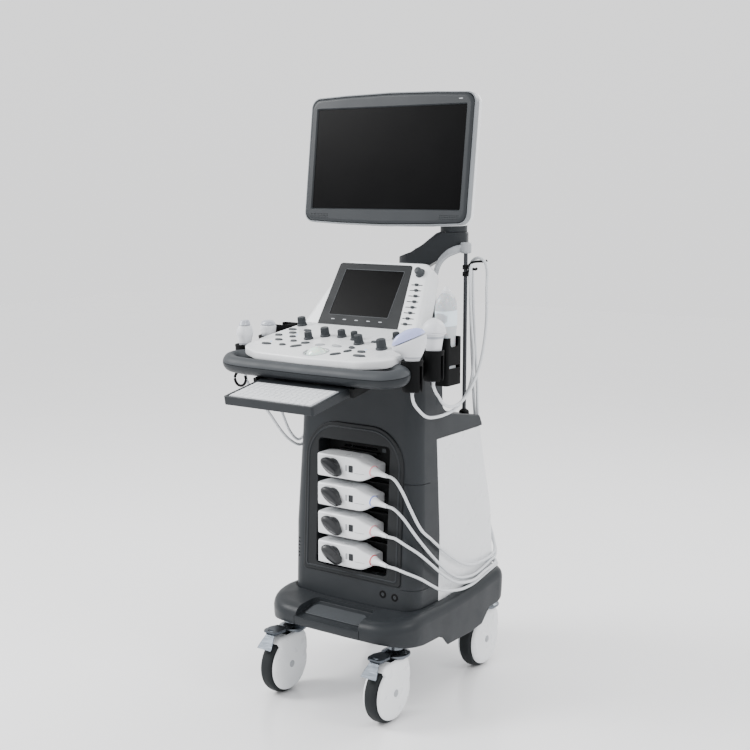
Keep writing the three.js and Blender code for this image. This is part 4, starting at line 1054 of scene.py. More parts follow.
# The handle's middle line seen from above.
RING_PATH = [
    (-186, -182), (-214, -187), (-238, -200), (-245, -218), (-226, -240), (-180, -249), (-90, -251),
    (0, -252), (90, -251),
    (180, -249), (226, -240), (245, -218), (238, -200), (214, -187), (186, -182),
]
# Oval keys: x, y, half length and turn. The last two are pale, in an arc behind the ball.
KEYS = [
    (-166, -176, 14, 0), (-157, -140, 11, 0), (-185, -106, 11, 0), (-119, -173, 9, 0), (-182, -55, 12, 0),
    (-161, -81, 11, 0), (-139, -109, 9, 0), (-111, -140, 9, 0), (-77, -174, 14, 0.7), (-70, -147, 11, 0.3),
    (-136, -54, 11, 0), (69, -150, 10, -0.4), (76, -176, 10, 0.9), (61, -203, 13, 0.7), (112, -172, 11, 0),
    (126, -200, 17, 0), (96, -96, 10, 0), (123, -112, 10, 0),
]
ARC_KEYS = [(-24, -150, 12, 0.35), (24, -148, 15, -0.15)]
# Knobs: x, y, radius and height. The fixed ones have no node of their own.
KNOBS = (
    ("knob_rear_left", -182, -17, 13, 22), ("knob_left", -85, -115, 12, 18),
    ("knob_centre", -58, -84, 13, 22),
    ("knob_right", 66, -118, 13, 22), ("knob_far_right", 146, -140, 14, 24),
)
FIXED_KNOBS = ((-12, -79, 12, 18), (34, -90, 11, 20), (132, -59, 11, 16))


def panel_outline(d, steps=14):
    return outline([
        (-150, slope_s(-240) + d, 60), (0, slope_s(-247) + d, 200), (150, slope_s(-240) + d, 60),
        (218 - d, slope_s(-205), 40), (217 - d, slope_s(-120)), (192 - d, slope_s(34)),
        (-192 + d, slope_s(34)),
        (-217 + d, slope_s(-120)), (-218 + d, slope_s(-205), 40),
    ], steps)


def key_ring(key, grow, height, sides=32):
    x, y, half, turn = key
    return [(px + x, py + slope_s(y), height)
            for px, py in ellipse(0, 0, half + grow, 5.8 + grow, sides, turn)]


def control_panel():
    lip = [(5, -20), (2, -19.5), (0.7, -18.2), (0.1, -16), (0, -13), (0.4, -5), (0.8, -3.2), (1.6, -1.6),
           (2.9, -0.5), (4.6, 0)]
    panel = loft("control_shell", [[(*p, h) for p in panel_outline(d)] for d, h in lip], CONSOLE)
    holes = [loft("hole", [key_ring(key, 0.9, -30), key_ring(key, 0.9, 10)], CONSOLE)
             for key in KEYS + ARC_KEYS]
    cut(panel, join("holes", holes))
    socket = lathe("socket", [(0, -30), (29.5, -30), (26.5, -7), (27.6, -3.4), (31.5, -1.4), (37, -0.5),
                              (40, 0.4), (40, 10), (0, 10)],
                   CONSOLE @ at(0, BALL_CENTRE.y, 0), 64)
    cut(panel, socket)
    bevel(panel, 0.7, 2, 40)
    place_on(panel, "trolley", WHITE, ["control_panel"], 34)
    ball = lathe("ball_skin", [
        (BALL_R * math.sin(math.pi * k / 40), -BALL_R * math.cos(math.pi * k / 40)) for k in range(41)
    ], CONSOLE @ Matrix.Translation(BALL_CENTRE), 64)
    place_on(ball, "ball", BALL, ["trackball"])
    ring = lathe("ball_ring", [(28.4, -4.2), (30.6, -4.2), (31.8, -2.4), (31.2, -1.2), (29.8, -0.7),
                               (28.6, -1.6), (28.4, -4.2)],
                 CONSOLE @ at(0, BALL_CENTRE.y, 0), 72)
    place_on(ring, "trolley", LIGHT_GREY, angle=50)


def key_caps():
    caps = []
    for key in KEYS:
        steps = ((0, -4), (0, 1.2), (-0.4, 2.1), (-1.1, 2.7), (-2.2, 3.0))
        caps.append(loft("cap", [key_ring(key, grow, height) for grow, height in steps], CONSOLE))
    pads = join("key_caps", caps)
    place_on(pads, "keys", KEY_GREY, ["keypad"], 45)
    arcs = [loft("cap", [key_ring(key, grow, height)
                         for grow, height in ((0, -4), (0, 1), (-0.5, 2), (-1.6, 2.5))], CONSOLE)
            for key in ARC_KEYS]
    place_on(join("arc_keys", arcs), "keys", LIGHT_GREY, angle=45)
    lamps = [loft("lamp", [key_ring((x, y, 3.2, 0), -3.6 + 1.2, h, 16) for h in (-0.5, 0.9)], CONSOLE)
             for x, y in ((-166, -158), (-139, -93), (112, -155))]
    place_on(join("key_lamps", lamps), "trolley", LED_BLUE, angle=45)


def ribbed_ring(radius, h, wave, sides=72, ribs=18):
    ring = []
    for k in range(sides):
        a = 2 * math.pi * k / sides
        r = radius + wave * math.cos(a * ribs)
        ring.append((r * math.cos(a), r * math.sin(a), h))
    return ring


def knob(name, x, y, radius, height, body, node=None):
    """Two-step knob: flared skirt and a ribbed grip with a dished top."""
    place = CONSOLE @ at(x, slope_s(y), 0.4)
    grip = radius - 3
    skirt = lathe(name + "_skirt", [(0, 0), (radius, 0), (radius, 1.2), (radius - 0.8, 3.4),
                                    (grip + 0.6, 5.2), (0, 5.2)], place, 48)
    ribs = []
    for h, scale in ((4.6, 1.03), (height - 3, 0.99), (height - 1.2, 0.95),
                     (height - 0.2, 0.86), (height, 0.7)):
        ribs.append(ribbed_ring(grip * scale, h, 0.45 if h < height - 0.5 else 0))
    ribs.append(ribbed_ring(grip * 0.5, height - 0.9, 0))
    stem = loft(name + "_grip", ribs, place)
    piece = join(name + "_skin", [skirt, stem])
    return place_on(piece, body, KNOB_GREY, [node] if node else (), 50)


def handle_ring():
    """Bar round the console's front: a lighter grip above, charcoal below, a groove between."""
    path = through([(x, slope_s(y), -35) for x, y in RING_PATH], 10)

    def arc(start, end, rx, ry, steps=26):
        return [(rx * math.cos(math.radians(start + (end - start) * k / steps)),
                 ry * math.sin(math.radians(start + (end - start) * k / steps))) for k in range(steps + 1)]

    halves = (
        ("handle_grip", SOFT_GREY, arc(15, 165, 19.5, 20)),
        ("handle_lower", CHARCOAL, arc(169, 371, 19.5, 20)),
        ("handle_core", BLACK_AND_HOLE_SHADE, ellipse(0, -0.5, 17.6, 17.6, 24)),
    )
    for name, material, section in halves:
        piece = sweep(name, path, section, place=CONSOLE)
        notch = [lathe("notch", [(0, 700), (25.2, 700), (25.2, 950), (0, 950)],
                       at(s * CUP_X, CUP_YS[0], 0), 48) for s in (-1, 1)]
        under = extrude("under", panel_outline(-0.5), -20.5, 20, "z", CONSOLE)
        inner = extrude("inner", rounded_rect(-190, slope_s(-226), 190, 100, 34, 14),
                        -90, -10, "z", CONSOLE)
        cut(piece, *notch, under, inner)
        bevel(piece, 1.0, 3, 40)
        place_on(piece, "trolley", material, ["handle_ring"] if name == "handle_grip" else (), 34)


def under_console_details():
    hook_points = [
        (17 * math.cos(math.radians(a)), 0, 17 * math.sin(math.radians(a))) for a in range(100, 392, 12)
    ]
    hook = wire("cable_hook", hook_points, 6.5, at(-207, -226, 806))
    place_on(hook, "trolley", RUBBER_BLACK)
    stud = lathe("hook_stud", [(0, 0), (4, 0), (4, 14), (0, 14)], at(-206, -226, 820), 20)
    place_on(stud, "trolley", ZINC)
    rails = []
    for s in (-1, 1):
        rails.append(box("rail", s * 140 - 5, s * 140 + 5, slope_s(-262), slope_s(-130),
                         -79, -58, CONSOLE, 1))
    place_on(join("tray_rails", rails), "trolley", PANEL_BLACK)


control_panel()
key_caps()
for knob_name, kx, ky, kr, kh in KNOBS:
    knob(knob_name, kx, ky, kr, kh, knob_name + "_body", knob_name)
for index, (kx, ky, kr, kh) in enumerate(FIXED_KNOBS, 1):
    knob(f"rocker_knob_{index}", kx, ky, kr, kh, "trolley")
handle_ring()
refine("console_base", CHARCOAL, "trolley", 1.2, 34, 3)
under_console_details()


# ---------------------------------------------------------------- keyboard tray
TRAY_FRONT = slope_s(-376 - 60 * math.sin(math.radians(10)))


def keyboard_tray():
    tray = extrude("tray_plate", rounded_rect(-128, TRAY_FRONT, 128, slope_s(-200), 6, 6),
                   -80, -60, "z", CONSOLE)
    cut(tray, box("recess", -121, 121, TRAY_FRONT + 6, slope_s(-274), -64, 0, CONSOLE))
    bevel(tray, 2.2, 4, 40)
    place_on(tray, "tray", CHARCOAL, ["keyboard_tray"])
    base = extrude("key_base", rounded_rect(-119, TRAY_FRONT + 8, 119, slope_s(-276), 3, 5), -63.6,
                   -60.4, "z", CONSOLE, 0.8)
    place_on(base, "tray", LIGHT_GREY)
    low, high = TRAY_FRONT + 11, slope_s(-279)
    rows, columns = 6, 15
    keys = []
    for row in range(rows):
        y0 = low + (high - low) * row / rows
        y1 = low + (high - low) * (row + 1) / rows - 1.6
        spans = [(c, c + 1) for c in range(columns)]
        if row == 0:
            spans = [(0, 1.5), (1.5, 2.5), (2.5, 4), (4, 9.5), (9.5, 11), (11, 12),
                     (12, 13), (13, 14), (14, 15)]
        if row in (1, 2):
            spans = [(0, 1.6)] + [(c + 0.6, c + 1.6) for c in range(1, 13)] + [(13.6, 15)]
        for a, b in spans:
            x0, x1 = -116 + 232 * a / columns, -116 + 232 * b / columns - 1.6
            rings = [[(*p, h) for p in rounded_rect(x0 + d, y0 + d, x1 - d, y1 - d, 1.6, 3)]
                     for d, h in ((0, -61), (0, -59.4), (0.5, -58.7), (1.3, -58.4))]
            keys.append(loft("key", rings, CONSOLE))
    place_on(join("keyboard_keys", keys), "tray", KEY_WHITE, ["keyboard"], 45)


keyboard_tray()


# ---------------------------------------------------------------- touch panel housing
def touch_bezel(d, steps=8):
    return outline([(-154 - d, -100 - d, 8), (89 + d, -100 - d, 8), (66 + d, 84 + d, 8),
                    (-154 - d, 84 + d, 8)], steps)


def touch_outline(inset, radius, steps=12):
    """Outline of the housing moved inwards by inset, its two upper corners keeping their roundness."""
    return outline([
        (-208 + inset, -112), (150 - inset, -112), (115 - inset, 96 - inset, radius),
        (-141 + inset, 96 - inset, radius),
    ], steps)


def slider_places():
    """Centre of each gain slider's slot on the touch housing, and how far its tab is pushed."""
    for k in range(8):
        t = 31 - 109 * k / 7
        yield 97 + (31 - t) * 0.1, t, (0, 3, 5, 6, 5, 3, 0, -3)[k]


def touch_panel():
    profile = [(6, -58), (2.4, -56.6), (0.6, -53), (0, -48), (0, -14), (0.7, -8.6), (2.4, -4.6),
               (5, -1.8), (8.4, -0.4), (12, 0)]
    shell = loft("touch_shell", [[(*p, h) for p in touch_outline(d, 26)] for d, h in profile], FACE)
    cut(
        shell, extrude("hollow", touch_outline(7, 22), -52, -8, "z", FACE),
        extrude("recess", touch_bezel(0.4), -7, 10, "z", FACE), box("below", *BELOW),
    )
    slots = [extrude("slot", rounded_rect(x - 17, t - 1.3, x + 17, t + 1.3, 1.2, 3), -3.4, 4, "z", FACE)
             for x, t, _ in slider_places()]
    cut(shell, join("slots", slots))
    bevel(shell, 0.6, 2, 44)
    place_on(shell, "trolley", WHITE, ["touch_housing"], 34)
    # Near-black floors in the slider slot pockets: painted shade for the slots' depth.
    slot_shade_floors = [extrude("floor", rounded_rect(x - 16.6, t - 1.1, x + 16.6, t + 1.1, 1, 3),
                      -3.3, -1.4, "z", FACE)
              for x, t, _ in slider_places()]
    place_on(join("slider_slot_shade", slot_shade_floors), "trolley", BLACK_AND_HOLE_SHADE)
    tabs = []
    for x, t, shift in slider_places():
        rings = [[(*p, h) for p in rounded_rect(x + shift - w, t - v, x + shift + w, t + v,
                                                min(w, v) * 0.6, 4)]
                 for w, v, h in ((5, 3.4, 0.3), (5, 3.4, 1.6), (4.2, 2.4, 4.2), (3.4, 1.4, 5.6),
                                 (2.6, 0.8, 6))]
        tabs.append(loft("tab", rings, FACE))
    place_on(join("gain_sliders", tabs), "trolley", KEY_GREY, angle=45)

    bezel = extrude("touch_frame", touch_bezel(0), -6.5, 1, "z", FACE)
    glass_cut = extrude("glass_cut", rounded_rect(-129.5, -65.5, 48.5, 65.5, 2, 4), -1.2, 5, "z", FACE)
    cut(bezel, box("below", *BELOW), glass_cut)
    bevel(bezel, 0.9, 3, 40)
    place_on(bezel, "trolley", BEZEL_GREY, ["touch_screen"], 34)
    glass = extrude("touch_glass", rounded_rect(-129, -65, 48, 65, 1.6, 4), -1.1, 0.2, "z", FACE, 0.3)
    place_on(glass, "trolley", GLASS, angle=10)
    marks = [extrude("mark", rounded_rect(x - 5, -79.6, x + 5, -77.2, 1, 4), 0.6, 1.5, "z", FACE, 0.2)
             for x in (-112, -76, -40, -4, 32)]
    place_on(join("touch_marks", marks), "trolley", LIGHT_GREY)
    rim = sweep("glass_rim", [(x, y, 0.9) for x, y in rounded_rect(-130, -66, 49, 66, 3, 6)],
                ellipse(0, 0, 0.8, 0.5, 10),
                Vector((0, 0, 1)), closed=True, place=FACE)
    place_on(rim, "trolley", KEY_GREY)


def face_knob():
    place = FACE @ at(95, 64, 0.3)
    grip = [(0, 0), (12.5, 0), (12.5, 1), (11.6, 3), (9.6, 4.4), (9.2, 14), (8.4, 16.6),
            (6.6, 18), (3, 18.4), (0, 18.4)]
    piece = lathe("face_knob", grip, place, 48)
    place_on(piece, "trolley", KEY_GREY, angle=40)


touch_panel()
face_knob()


# ---------------------------------------------------------------- monitor arm
ARM = at(*ARM_FOOT, 0) @ Matrix.Rotation(math.atan2(LINK[1], LINK[0]), 4, "Z")


def lower_arm():
    reach = math.hypot(*LINK)
    side = outline([
        (-36, 1036, 4), (4, 1036, 30), (reach - 4, 1096, 40), (reach + 36, 1103, 4), (reach + 36, 1148, 5),
        (reach - 22, 1148, 30), (2, 1098, 30), (-36, 1084, 8),
    ], 10)
    beam = extrude("arm_lower_shell", side, -36, 36, "y", ARM)
    plan = extrude("plan", outline([
        (-37, -37, 36.5), (reach + 37, -37, 36.5), (reach + 37, 37, 36.5), (-37, 37, 36.5),
    ], 16), 900, 1300, "z", ARM)
    combine(beam, "INTERSECT", [plan])
    bevel(beam, 5, 5, 36)
    place_on(beam, "arm_lower", CHARCOAL, ["monitor_arm_lower"], 34)
    strip = sweep("arm_cable_cover", [(6, 0, 1101.5), (20, 0, 1107.5), (reach - 42, 0, 1142),
                                      (reach - 26, 0, 1148)],
                  rounded_rect(-11, -3, 11, 3.2, 2.6, 5), place=ARM)
    place_on(strip, "arm_lower", KEY_GREY)
    cap = lathe("arm_foot_cap", [(30, 1035.2), (38, 1035.4), (38.6, 1037), (38.6, 1042), (37.6, 1043.4),
                                 (30, 1043.6), (30, 1035.2)],
                at(*ARM_FOOT, 0), 64)
    place_on(cap, "arm_lower", KEY_GREY, angle=45)


def upper_arm():
    link = Vector(NECK) - Vector(ELBOW)
    place = at(*ELBOW, 0) @ Matrix.Rotation(math.atan2(link.y, link.x), 4, "Z")
    plan = outline([(-34, -34, 30), (link.length + 30, -30, 26),
                    (link.length + 30, 30, 26), (-34, 34, 30)], 16)
    beam = extrude("arm_upper_shell", plan, 1176, 1203.6, "z", place)
    hub = lathe("hub", [(0, 1148.4), (33, 1148.4), (34, 1149.4), (34, 1178), (0, 1178)], at(*ELBOW, 0), 64)
    fuse(beam, hub)
    bevel(beam, 4.5, 5, 40)
    place_on(beam, "arm_upper", CHARCOAL, ["monitor_arm_upper"], 34)
    lid = lathe("arm_elbow_lid", [(0, 1203), (22, 1203), (22, 1204.6), (20.6, 1205.6), (8, 1206),
                                  (0, 1206)], at(*ELBOW, 0), 48)
    place_on(lid, "arm_upper", KEY_GREY, angle=45)
    groove = sweep("arm_side_trim", [(4, 30.2, 1190), (link.length - 6, 29.6, 1190)],
                   rounded_rect(-0.8, -3, 0.8, 3, 0.6, 3),
                   place=place)
    place_on(groove, "arm_upper", KEY_GREY)


def tilt_bracket():
    collar = lathe("neck_post", [(0, 1204.2), (28, 1204.2), (28, 1222), (26, 1226), (0, 1226)], at(*NECK,
        0), 56)
    foot = box("foot", NECK[0] - 38, NECK[0] + 38, 148, 188, 1214, 1228, None, 3)
    ears = [extrude("ear", outline([(146, 1215), (190, 1215), (188, 1320, 20), (148, 1320, 20)], 14),
                    NECK[0] + s * 33 - 5, NECK[0] + s * 33 + 5, "x")
            for s in (-1, 1)]
    bracket = fuse(collar, foot, *ears)
    bevel(bracket, 1.6, 3, 40)
    bracket.name = "neck_bracket"
    place_on(bracket, "neck", CHARCOAL, ["monitor_bracket"], 34)
    bolts = [lathe("bolt", [(0, 38), (9, 38), (9, 41), (7.6, 42.4), (0, 42.4)],
                   at(*NECK, TILT_Z) @ turned("z", 90 - 90 * s), 36, "x")
             for s in (-1, 1)]
    place_on(join("tilt_bolts", bolts), "neck", ZINC, angle=45)


lower_arm()
upper_arm()
tilt_bracket()


# ---------------------------------------------------------------- monitor
MX, M_TOP, M_BOTTOM = 236, 154.5, -159.5


def monitor_outline(d, bow=7):
    """Screen frame outline: gently bowed top and bottom, generous corners."""
    return outline([
        (-MX + d, M_BOTTOM + bow + d, 24), (-MX * 0.55, M_BOTTOM + bow * 0.35 + d, 300),
        (0, M_BOTTOM + d, 900),
        (MX * 0.55, M_BOTTOM + bow * 0.35 + d, 300), (MX - d, M_BOTTOM + bow + d, 24),
        (MX - d, M_TOP - bow - d, 24), (MX * 0.55, M_TOP - bow * 0.35 - d, 300), (0, M_TOP - d, 900),
        (-MX * 0.55, M_TOP - bow * 0.35 - d, 300), (-MX + d, M_TOP - bow - d, 24),
    ], 10)


def flat_ring(points, y):
    return [(x, y, z) for x, z in points]


def monitor():
    opening = rounded_rect(-217, -122.5, 217, 122.5, 2.5, 4)
    levels = [(3.4, 10), (1.4, 9), (0.4, 6.6), (0, 3), (0, -1), (0.8, -4.4),
              (2.6, -6.8), (5.6, -8), (8, -8.2)]
    bezel = loft("screen_frame", [flat_ring(monitor_outline(d), y) for d, y in levels], MONITOR)
    taper = loft("taper", [
        flat_ring(rounded_rect(-221, -126.5, 221, 126.5, 4, 4), -14),
        flat_ring(rounded_rect(-219.5, -125, 219.5, 125, 3, 4), -8.1),
        flat_ring(opening, -4.6), flat_ring(opening, 16),
    ], MONITOR)
    cut(bezel, taper)
    holes = []
    for s in (-1, 1):
        for row in range(3):
            for column in range(12):
                x, z = s * (216 - 4.6 * column), -137 - 4.2 * row
                holes.append(lathe("hole", [(0, -4), (1.1, -4), (1.1, 4), (0, 4)],
                                   MONITOR @ at(x, -8, z) @ turned("x", 90), 8))
    cut(bezel, join("holes", holes))
    bevel(bezel, 0.5, 2, 44)
    place_on(bezel, "monitor", MONITOR_GREY, ["monitor_bezel"], 34)
    # Near-black plates at the bottoms of the blind speaker holes: painted shade for the holes' depth.
    hole_shade_plates = [extrude("hole_shade_plates", rounded_rect(s * 190.7 - 28, -148, s * 190.7 + 28, -134.5, 2, 3),
                      -4.6, -2, "y", MONITOR)
              for s in (-1, 1)]
    place_on(join("speaker_hole_shade", hole_shade_plates), "monitor", BLACK_AND_HOLE_SHADE)
    # The rim's grey colour is painted shade on a white plastic rim.
    rim_section = [(-1.9, -5.4), (-1.4, -7.2), (0, -8), (1.2, -7.4), (1.8, -6), (1.8, 8), (-1.9, 8)]
    rim = sweep("screen_rim", [(x, 3, z) for x, z in monitor_outline(-2)], rim_section, Vector((0, 1, 0)),
                closed=True, place=MONITOR)
    place_on(rim, "monitor", RIM_PAINTED_SHADE, angle=40)
    screen = extrude("screen_glass", rounded_rect(-216.6, -122.1, 216.6, 122.1, 2.4, 4),
                     -4.4, 6, "y", MONITOR, 0.3)
    place_on(screen, "monitor", GLASS, ["monitor_screen"], 10)
    lamp = extrude("power_lamp", rounded_rect(196, 134, 206, 136.4, 1.1, 4), -9, -7.8, "y", MONITOR, 0.2)
    place_on(lamp, "monitor", LIGHT_GREY)

    shell_levels = [
        (4, 10.4), (1.2, 10.5), (-1.6, 11.5), (-3.2, 14), (-4, 18), (-3.4, 23), (-1, 28),
        (4, 33), (12, 38), (24, 43),
        (42, 48.6), (64, 53), (92, 58),
    ]
    shell = loft("screen_back", [flat_ring(monitor_outline(d, 7 if d < 30 else 4), y)
                                 for d, y in shell_levels], MONITOR)
    vents = []
    for column in range(17):
        x = -96 + 12 * column
        for low in (60, -84):
            slit = rounded_rect(x - 2.2, low, x + 2.2, low + 24, 2, 3)
            vents.append(extrude("vent", slit, 46, 80, "y", MONITOR))
    cut(shell, join("vents", vents))
    bevel(shell, 0.8, 2, 44)
    place_on(shell, "monitor", WHITE, ["monitor_rear_shell"], 40)
    axis = MONITOR.inverted() @ Vector((*NECK, TILT_Z))
    boss = box("mount_boss", -25, 25, 54, axis.y, axis.z - 16, axis.z + 16, MONITOR, 3)
    knuckle = lathe("knuckle", [(0, -26), (16.4, -26), (18, -24.4), (18, 24.4), (16.4, 26), (0, 26)],
                    MONITOR @ at(0, axis.y, axis.z), 48, "x")
    plate = box("plate", -60, 60, 50, 61, -52, 48, MONITOR, 3)
    mount = fuse(boss, knuckle, plate)
    mount.name = "screen_mount"
    place_on(mount, "monitor", REAR_GREY, angle=40)
    screws = [lathe("screw", [(0, 61), (5, 61), (5, 63), (3.6, 64), (0, 64)],
                    MONITOR @ at(sx * 50, 0, -2 + sz * 42) @ turned("x", -90), 20)
              for sx, sz in CORNERS]
    place_on(join("mount_screws", screws), "monitor", ZINC, angle=45)
    keys = []
    for z in (-52, -66, -80, -94):
        keys.append(extrude("side_key", rounded_rect(-0.5, z - 4, 5.5, z + 4, 2, 4), MX - 1,
                            MX + 1.4, "x", MONITOR, 0.5))
    place_on(join("screen_keys", keys), "monitor", KEY_GREY, angle=45)


monitor()


# ---------------------------------------------------------------- probe holders
def cup(side, y):
    top = cup_top(y)
    place = at(side * CUP_X, y, 0)
    profile = [
        (20.2, top - 69), (20.2, top - 1.4), (20.9, top - 0.3), (22.4, top), (23.9, top - 0.4),
        (24.8, top - 1.6), (24.8, top - 5),
        (24, top - 6.6), (24, top - 60), (23.6, top - 66), (22.4, top - 70),
        (20.9, top - 71), (20.2, top - 69),
    ]
    shell = lathe("cup", profile, place, 64)
    slot = box("slot", -5.6, 5.6, 12, 40, top - 90, top - 12, place @ turned("z", -90 * side), 0)
    cut(shell, slot)
    return bevel(shell, 0.9, 3, 44)


def span(side, near, far):
    return min(side * near, side * far), max(side * near, side * far)


def probe_holder(side, name):
    cups = [cup(side, y) for y in CUP_YS]
    x0, x1 = span(side, BOTTLE_X - 24, BOTTLE_X + 24)
    cradle = extrude("cradle", rounded_rect(x0, CRADLE_Y - 32, x1, CRADLE_Y + 32, 7, 6), 806, 918)
    x0, x1 = span(side, BOTTLE_X - 21, BOTTLE_X + 21)
    cut(
        cradle, extrude("hollow", rounded_rect(x0, CRADLE_Y - 29, x1, CRADLE_Y + 29, 4.5, 6), 811, 950),
        extrude("window", rounded_rect(CRADLE_Y - 22, 846, CRADLE_Y + 22, 852.5, 3, 5),
                *span(side, 250, 280), "x"),
        extrude("scoop", rounded_rect(CRADLE_Y - 17, 896, CRADLE_Y + 17, 940, 8, 6),
                *span(side, 250, 280), "x"),
    )
    bevel(cradle, 1.2, 3, 40)
    rail = box("rail", *span(side, 219, 227), -160, 66, 832, 856, None, 2)
    bracket = box("bracket", *span(side, 189, 223), 46, 64, 836, 852, None, 1.6)
    pieces = [*cups, cradle, rail, bracket]
    for y in CUP_YS:
        x0, x1 = span(side, 222, 229)
        pieces.append(box("web", x0, x1, y + 12, y + 22, 830, 862, None, 1.4))
    if side < 0:
        drum = lathe("drum", [
            (0, -258), (27.4, -258), (29, -256.4), (29, -254.6), (28, -254), (20.6, -253.6), (20, -252.6),
            (20, -222.4), (19, -222), (0, -222),
        ], at(0, 112, 830), 56, "x")
        post = box("post", -228, -219, 60, 112, 832, 850, None, 1.6)
        pieces += [drum, post]
    place_on(join("holder_" + name, pieces), "trolley", RUBBER_BLACK, ["probe_holder_" + name], 40)
    clips = [lathe("screw", [(0, 0), (4.6, 0), (4.6, 1.4), (3.4, 2.4), (0, 2.4)],
                   at(side * 227, y, 844) @ turned("y", 90 * side), 20) for y in (-119, -46, 56)]
    place_on(join("holder_screws_" + name, clips), "trolley", ZINC, angle=45)


# ---------------------------------------------------------------- probes
# Each station up a probe: height over its cup, half width, half depth and offset.
PROBES = {
    "convex": [(-74, 5, 5, 0), (-60, 12, 10, 0), (0, 17, 14, 0), (16, 26, 15, 0),
               (34, 37, 16, 5), (52, 36, 14, 10),
               (62, 24, 11, 13), (66, 10, 5, 14)],
    "volume": [(-74, 5, 5, 0), (-60, 12, 11, 0), (0, 18, 17, 0), (34, 24, 23, 0),
               (38, 28, 27, 0), (44, 28, 27, 0),
               (58, 24, 23, 0), (68, 15, 14, 0), (72, 6, 6, 0)],
    "linear": [(-74, 5, 5, 0), (-60, 11, 9, 0), (-6, 14, 12, 0), (14, 18, 15, 0),
               (28, 22, 17, 0), (44, 18, 13, 0),
               (58, 12, 8, 0)],
    "phased": [(-74, 5, 5, 0), (-60, 11, 10, 0), (-6, 14, 13, 0), (8, 19, 17, 0),
               (24, 20, 18, 0), (34, 16, 14, 0),
               (37, 10, 9, 0)],
}
LENS_FROM = {"convex": 44, "volume": 40, "linear": 44, "phased": 24}


def soften(value, power):
    return math.copysign(abs(value) ** power, value)


def probe_ring(h, wide, deep, offset, lean=0.0, roundness=2.4):
    """Superellipse across the probe; `lean` tips the head over towards its own +y."""
    tip = lean * min(1.0, max(0.0, (h - 4) / 34))
    ring = []
    for k in range(48):
        a = 2 * math.pi * k / 48
        c, s = math.cos(a), math.sin(a)
        across = wide * soften(s, 2 / roundness)
        ring.append((deep * soften(c, 2 / roundness), offset + across, h - tip * across))
    return ring


def probe(kind, side, y, turn, lens_material):
    place = at(side * CUP_X, y, cup_top(y)) @ turned("z", turn)
    table = [Vector((h, wide, deep)) for h, wide, deep, _ in PROBES[kind]]
    offsets = [Vector((h, offset, 0)) for h, _, _, offset in PROBES[kind]]
    stations = list(zip(through(table, 6), through(offsets, 6)))
    split, lean = LENS_FROM[kind], 0.42 if kind == "convex" else 0.0
    body = [(p.x, p.y, p.z, q.y) for p, q in stations if p.x <= split]
    lens = [(p.x, p.y, p.z, q.y) for p, q in stations if p.x > split]
    h, wide, deep, offset = body[-1]
    body += [(h + 0.6, wide - 0.8, deep - 0.8, offset), (h + 0.9, wide - 2, deep - 2, offset)]
    handle = loft(f"probe_{kind}_body", [probe_ring(*station, lean) for station in body], place)
    place_on(handle, "trolley", PROBE_WHITE, [f"probe_{kind}"], 50)
    first = lens[0]
    lens = [(first[0] + 0.2, first[1] - 2.2, first[2] - 2.2, first[3]),
            (first[0] + 0.3, first[1] - 0.9, first[2] - 0.9, first[3])] + [
        (hh, w - 0.7, d - 0.7, o) for hh, w, d, o in lens[1:]
    ]
    h, wide, deep, offset = lens[-1]
    lens += [(h + 0.8, wide * 0.55, deep * 0.55, offset), (h + 1.0, wide * 0.2, deep * 0.2, offset)]
    face = loft(f"probe_{kind}_lens", [probe_ring(*station, lean) for station in lens], place)
    place_on(face, "trolley", lens_material, angle=50)
    tail = lathe(f"probe_{kind}_tail", [(0, -74.4), (5.6, -74.4), (6.2, -73), (6.4, -69), (7.4, -66),
                                        (9.4, -61), (0, -61)], place, 32)
    place_on(tail, "trolley", PROBE_GREY, angle=45)
    band_at, tall = {"convex": (6, 1.2), "volume": (32, 3.6), "linear": (2, 1.2), "phased": (0, 1.2)}[kind]
    near = min(stations, key=lambda pair: abs(pair[0].x - band_at))
    band = loft(f"probe_{kind}_band", [
        probe_ring(near[0].x + dh, near[0].y + grow, near[0].z + grow, near[1].y)
        for dh, grow in ((-tall, -3), (-tall, 0.3 - 0.12 * tall), (tall, 0.4 + 0.14 * tall), (tall, -3))
    ], place)
    place_on(band, "trolley", PROBE_GREY, angle=50)


def bottle_ring(h, wide, deep, sides=64):
    """Section of the bottle: nearly a rectangle, with round corners."""
    turns = [2 * math.pi * k / sides for k in range(sides)]
    return [(wide * soften(math.cos(a), 0.78), deep * soften(math.sin(a), 0.78), h) for a in turns]


def gel_bottle():
    place = at(BOTTLE_X, CRADLE_Y, 0)
    table = [(812.4, 16, 24), (814, 18, 27), (866, 18.4, 27.4), (920, 18, 27), (938, 20, 30.6),
             (985, 20, 30.6), (1004, 17.6, 27),
             (1014, 13, 20), (1019, 9, 12)]
    rings = [bottle_ring(*row) for row in through(table, 5)]
    body = loft("bottle_body", rings, place)
    place_on(body, "bottle", BOTTLE, ["gel_bottle"], 50)
    cap = lathe("bottle_cap", [(0, 1016), (11, 1016), (11.6, 1017.4), (11, 1024), (6, 1028), (4, 1034),
                               (0, 1034.6)], place, 40)
    place_on(cap, "bottle", PROBE_WHITE, angle=40)
    rings = [bottle_ring(h, 20.2 + grow, 30.8 + grow)
             for h, grow in ((944, -0.4), (944, 0.4), (979, 0.4), (979, -0.4))]
    label = loft("bottle_label", rings, place)
    place_on(label, "bottle", LABEL_BLANK, angle=50)


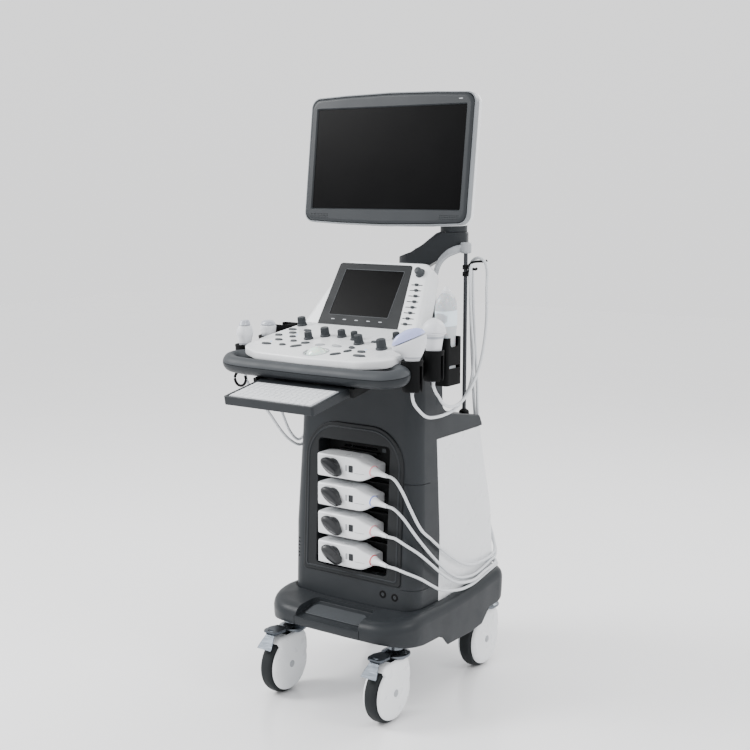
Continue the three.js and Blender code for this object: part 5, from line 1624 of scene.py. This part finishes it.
probe_holder(1, "right")
probe_holder(-1, "left")
probe("convex", 1, CUP_YS[0], 125, LENS_LILAC)
probe("volume", 1, CUP_YS[1], 0, PROBE_WHITE)
probe("linear", -1, CUP_YS[0], 0, LENS_GREY)
probe("phased", -1, CUP_YS[1], 0, LENS_GREY)
gel_bottle()


# ---------------------------------------------------------------- cable hanger
def cable_hanger():
    px, py = 150, 222
    pole = lathe("hanger_pole", [(0, 690), (5, 690), (5, 1100), (0, 1100)], at(px, py, 0), 32)
    place_on(pole, "trolley", POLE_GREY, ["cable_hanger"])
    foot = lathe("foot", [(0, 683), (13, 683), (13, 696), (11.6, 699.4), (8, 701.6), (6, 703.6),
                          (0, 703.6)], at(px, py, 0), 40)
    place_on(foot, "trolley", PANEL_BLACK).name = "hanger_foot"
    hub = lathe("hanger_hub", [(0, 1097), (11, 1097), (13.6, 1099.4), (14, 1102), (14, 1119), (13, 1122.4),
                               (10, 1124), (0, 1124)],
                at(px, py, 0), 48)
    bow = through([(px, py, 1111), (132, 208, 1106), (112, 194, 1094), (97, 184, 1074),
                   (89, 178, 1044), (86, 176, 1000),
                   (86, 176, 944)], 8)
    strap = sweep("strap", bow, rounded_rect(-10, -4.4, 10, 4.4, 3.4, 6), Vector((0.4, 0.5, 0.2)))
    cut(strap, box("below", *BELOW))
    place_on(join("hanger_hub", [hub, strap]), "trolley", LIGHT_GREY, angle=50)
    hooks = []
    for dx, dy, z in ((39, -16, 1059.3), (36, 37, 1076.2)):
        reach = math.hypot(dx, dy)
        heading = at(px, py, 0) @ Matrix.Rotation(math.atan2(dy, dx), 4, "Z")
        line = through([(4, 0, z - 14), (10, 0, z - 8), (18, 0, z - 2), (reach * 0.7, 0, z), (reach, 0, z),
                        (reach + 3.4, 0, z + 2.6)], 6)
        hooks.append(sweep("hook", line, ellipse(0, 0, 3.2, 3.2, 20), Vector((0, 0.2, 1)), place=heading))
        hooks.append(lathe("collar", [(5, z - 20), (8, z - 19), (8, z - 9), (5, z - 8),
                                      (5, z - 20)], at(px, py, 0), 32))
    place_on(join("hanger_hooks", hooks), "trolley", PANEL_BLACK, angle=50)


cable_hanger()
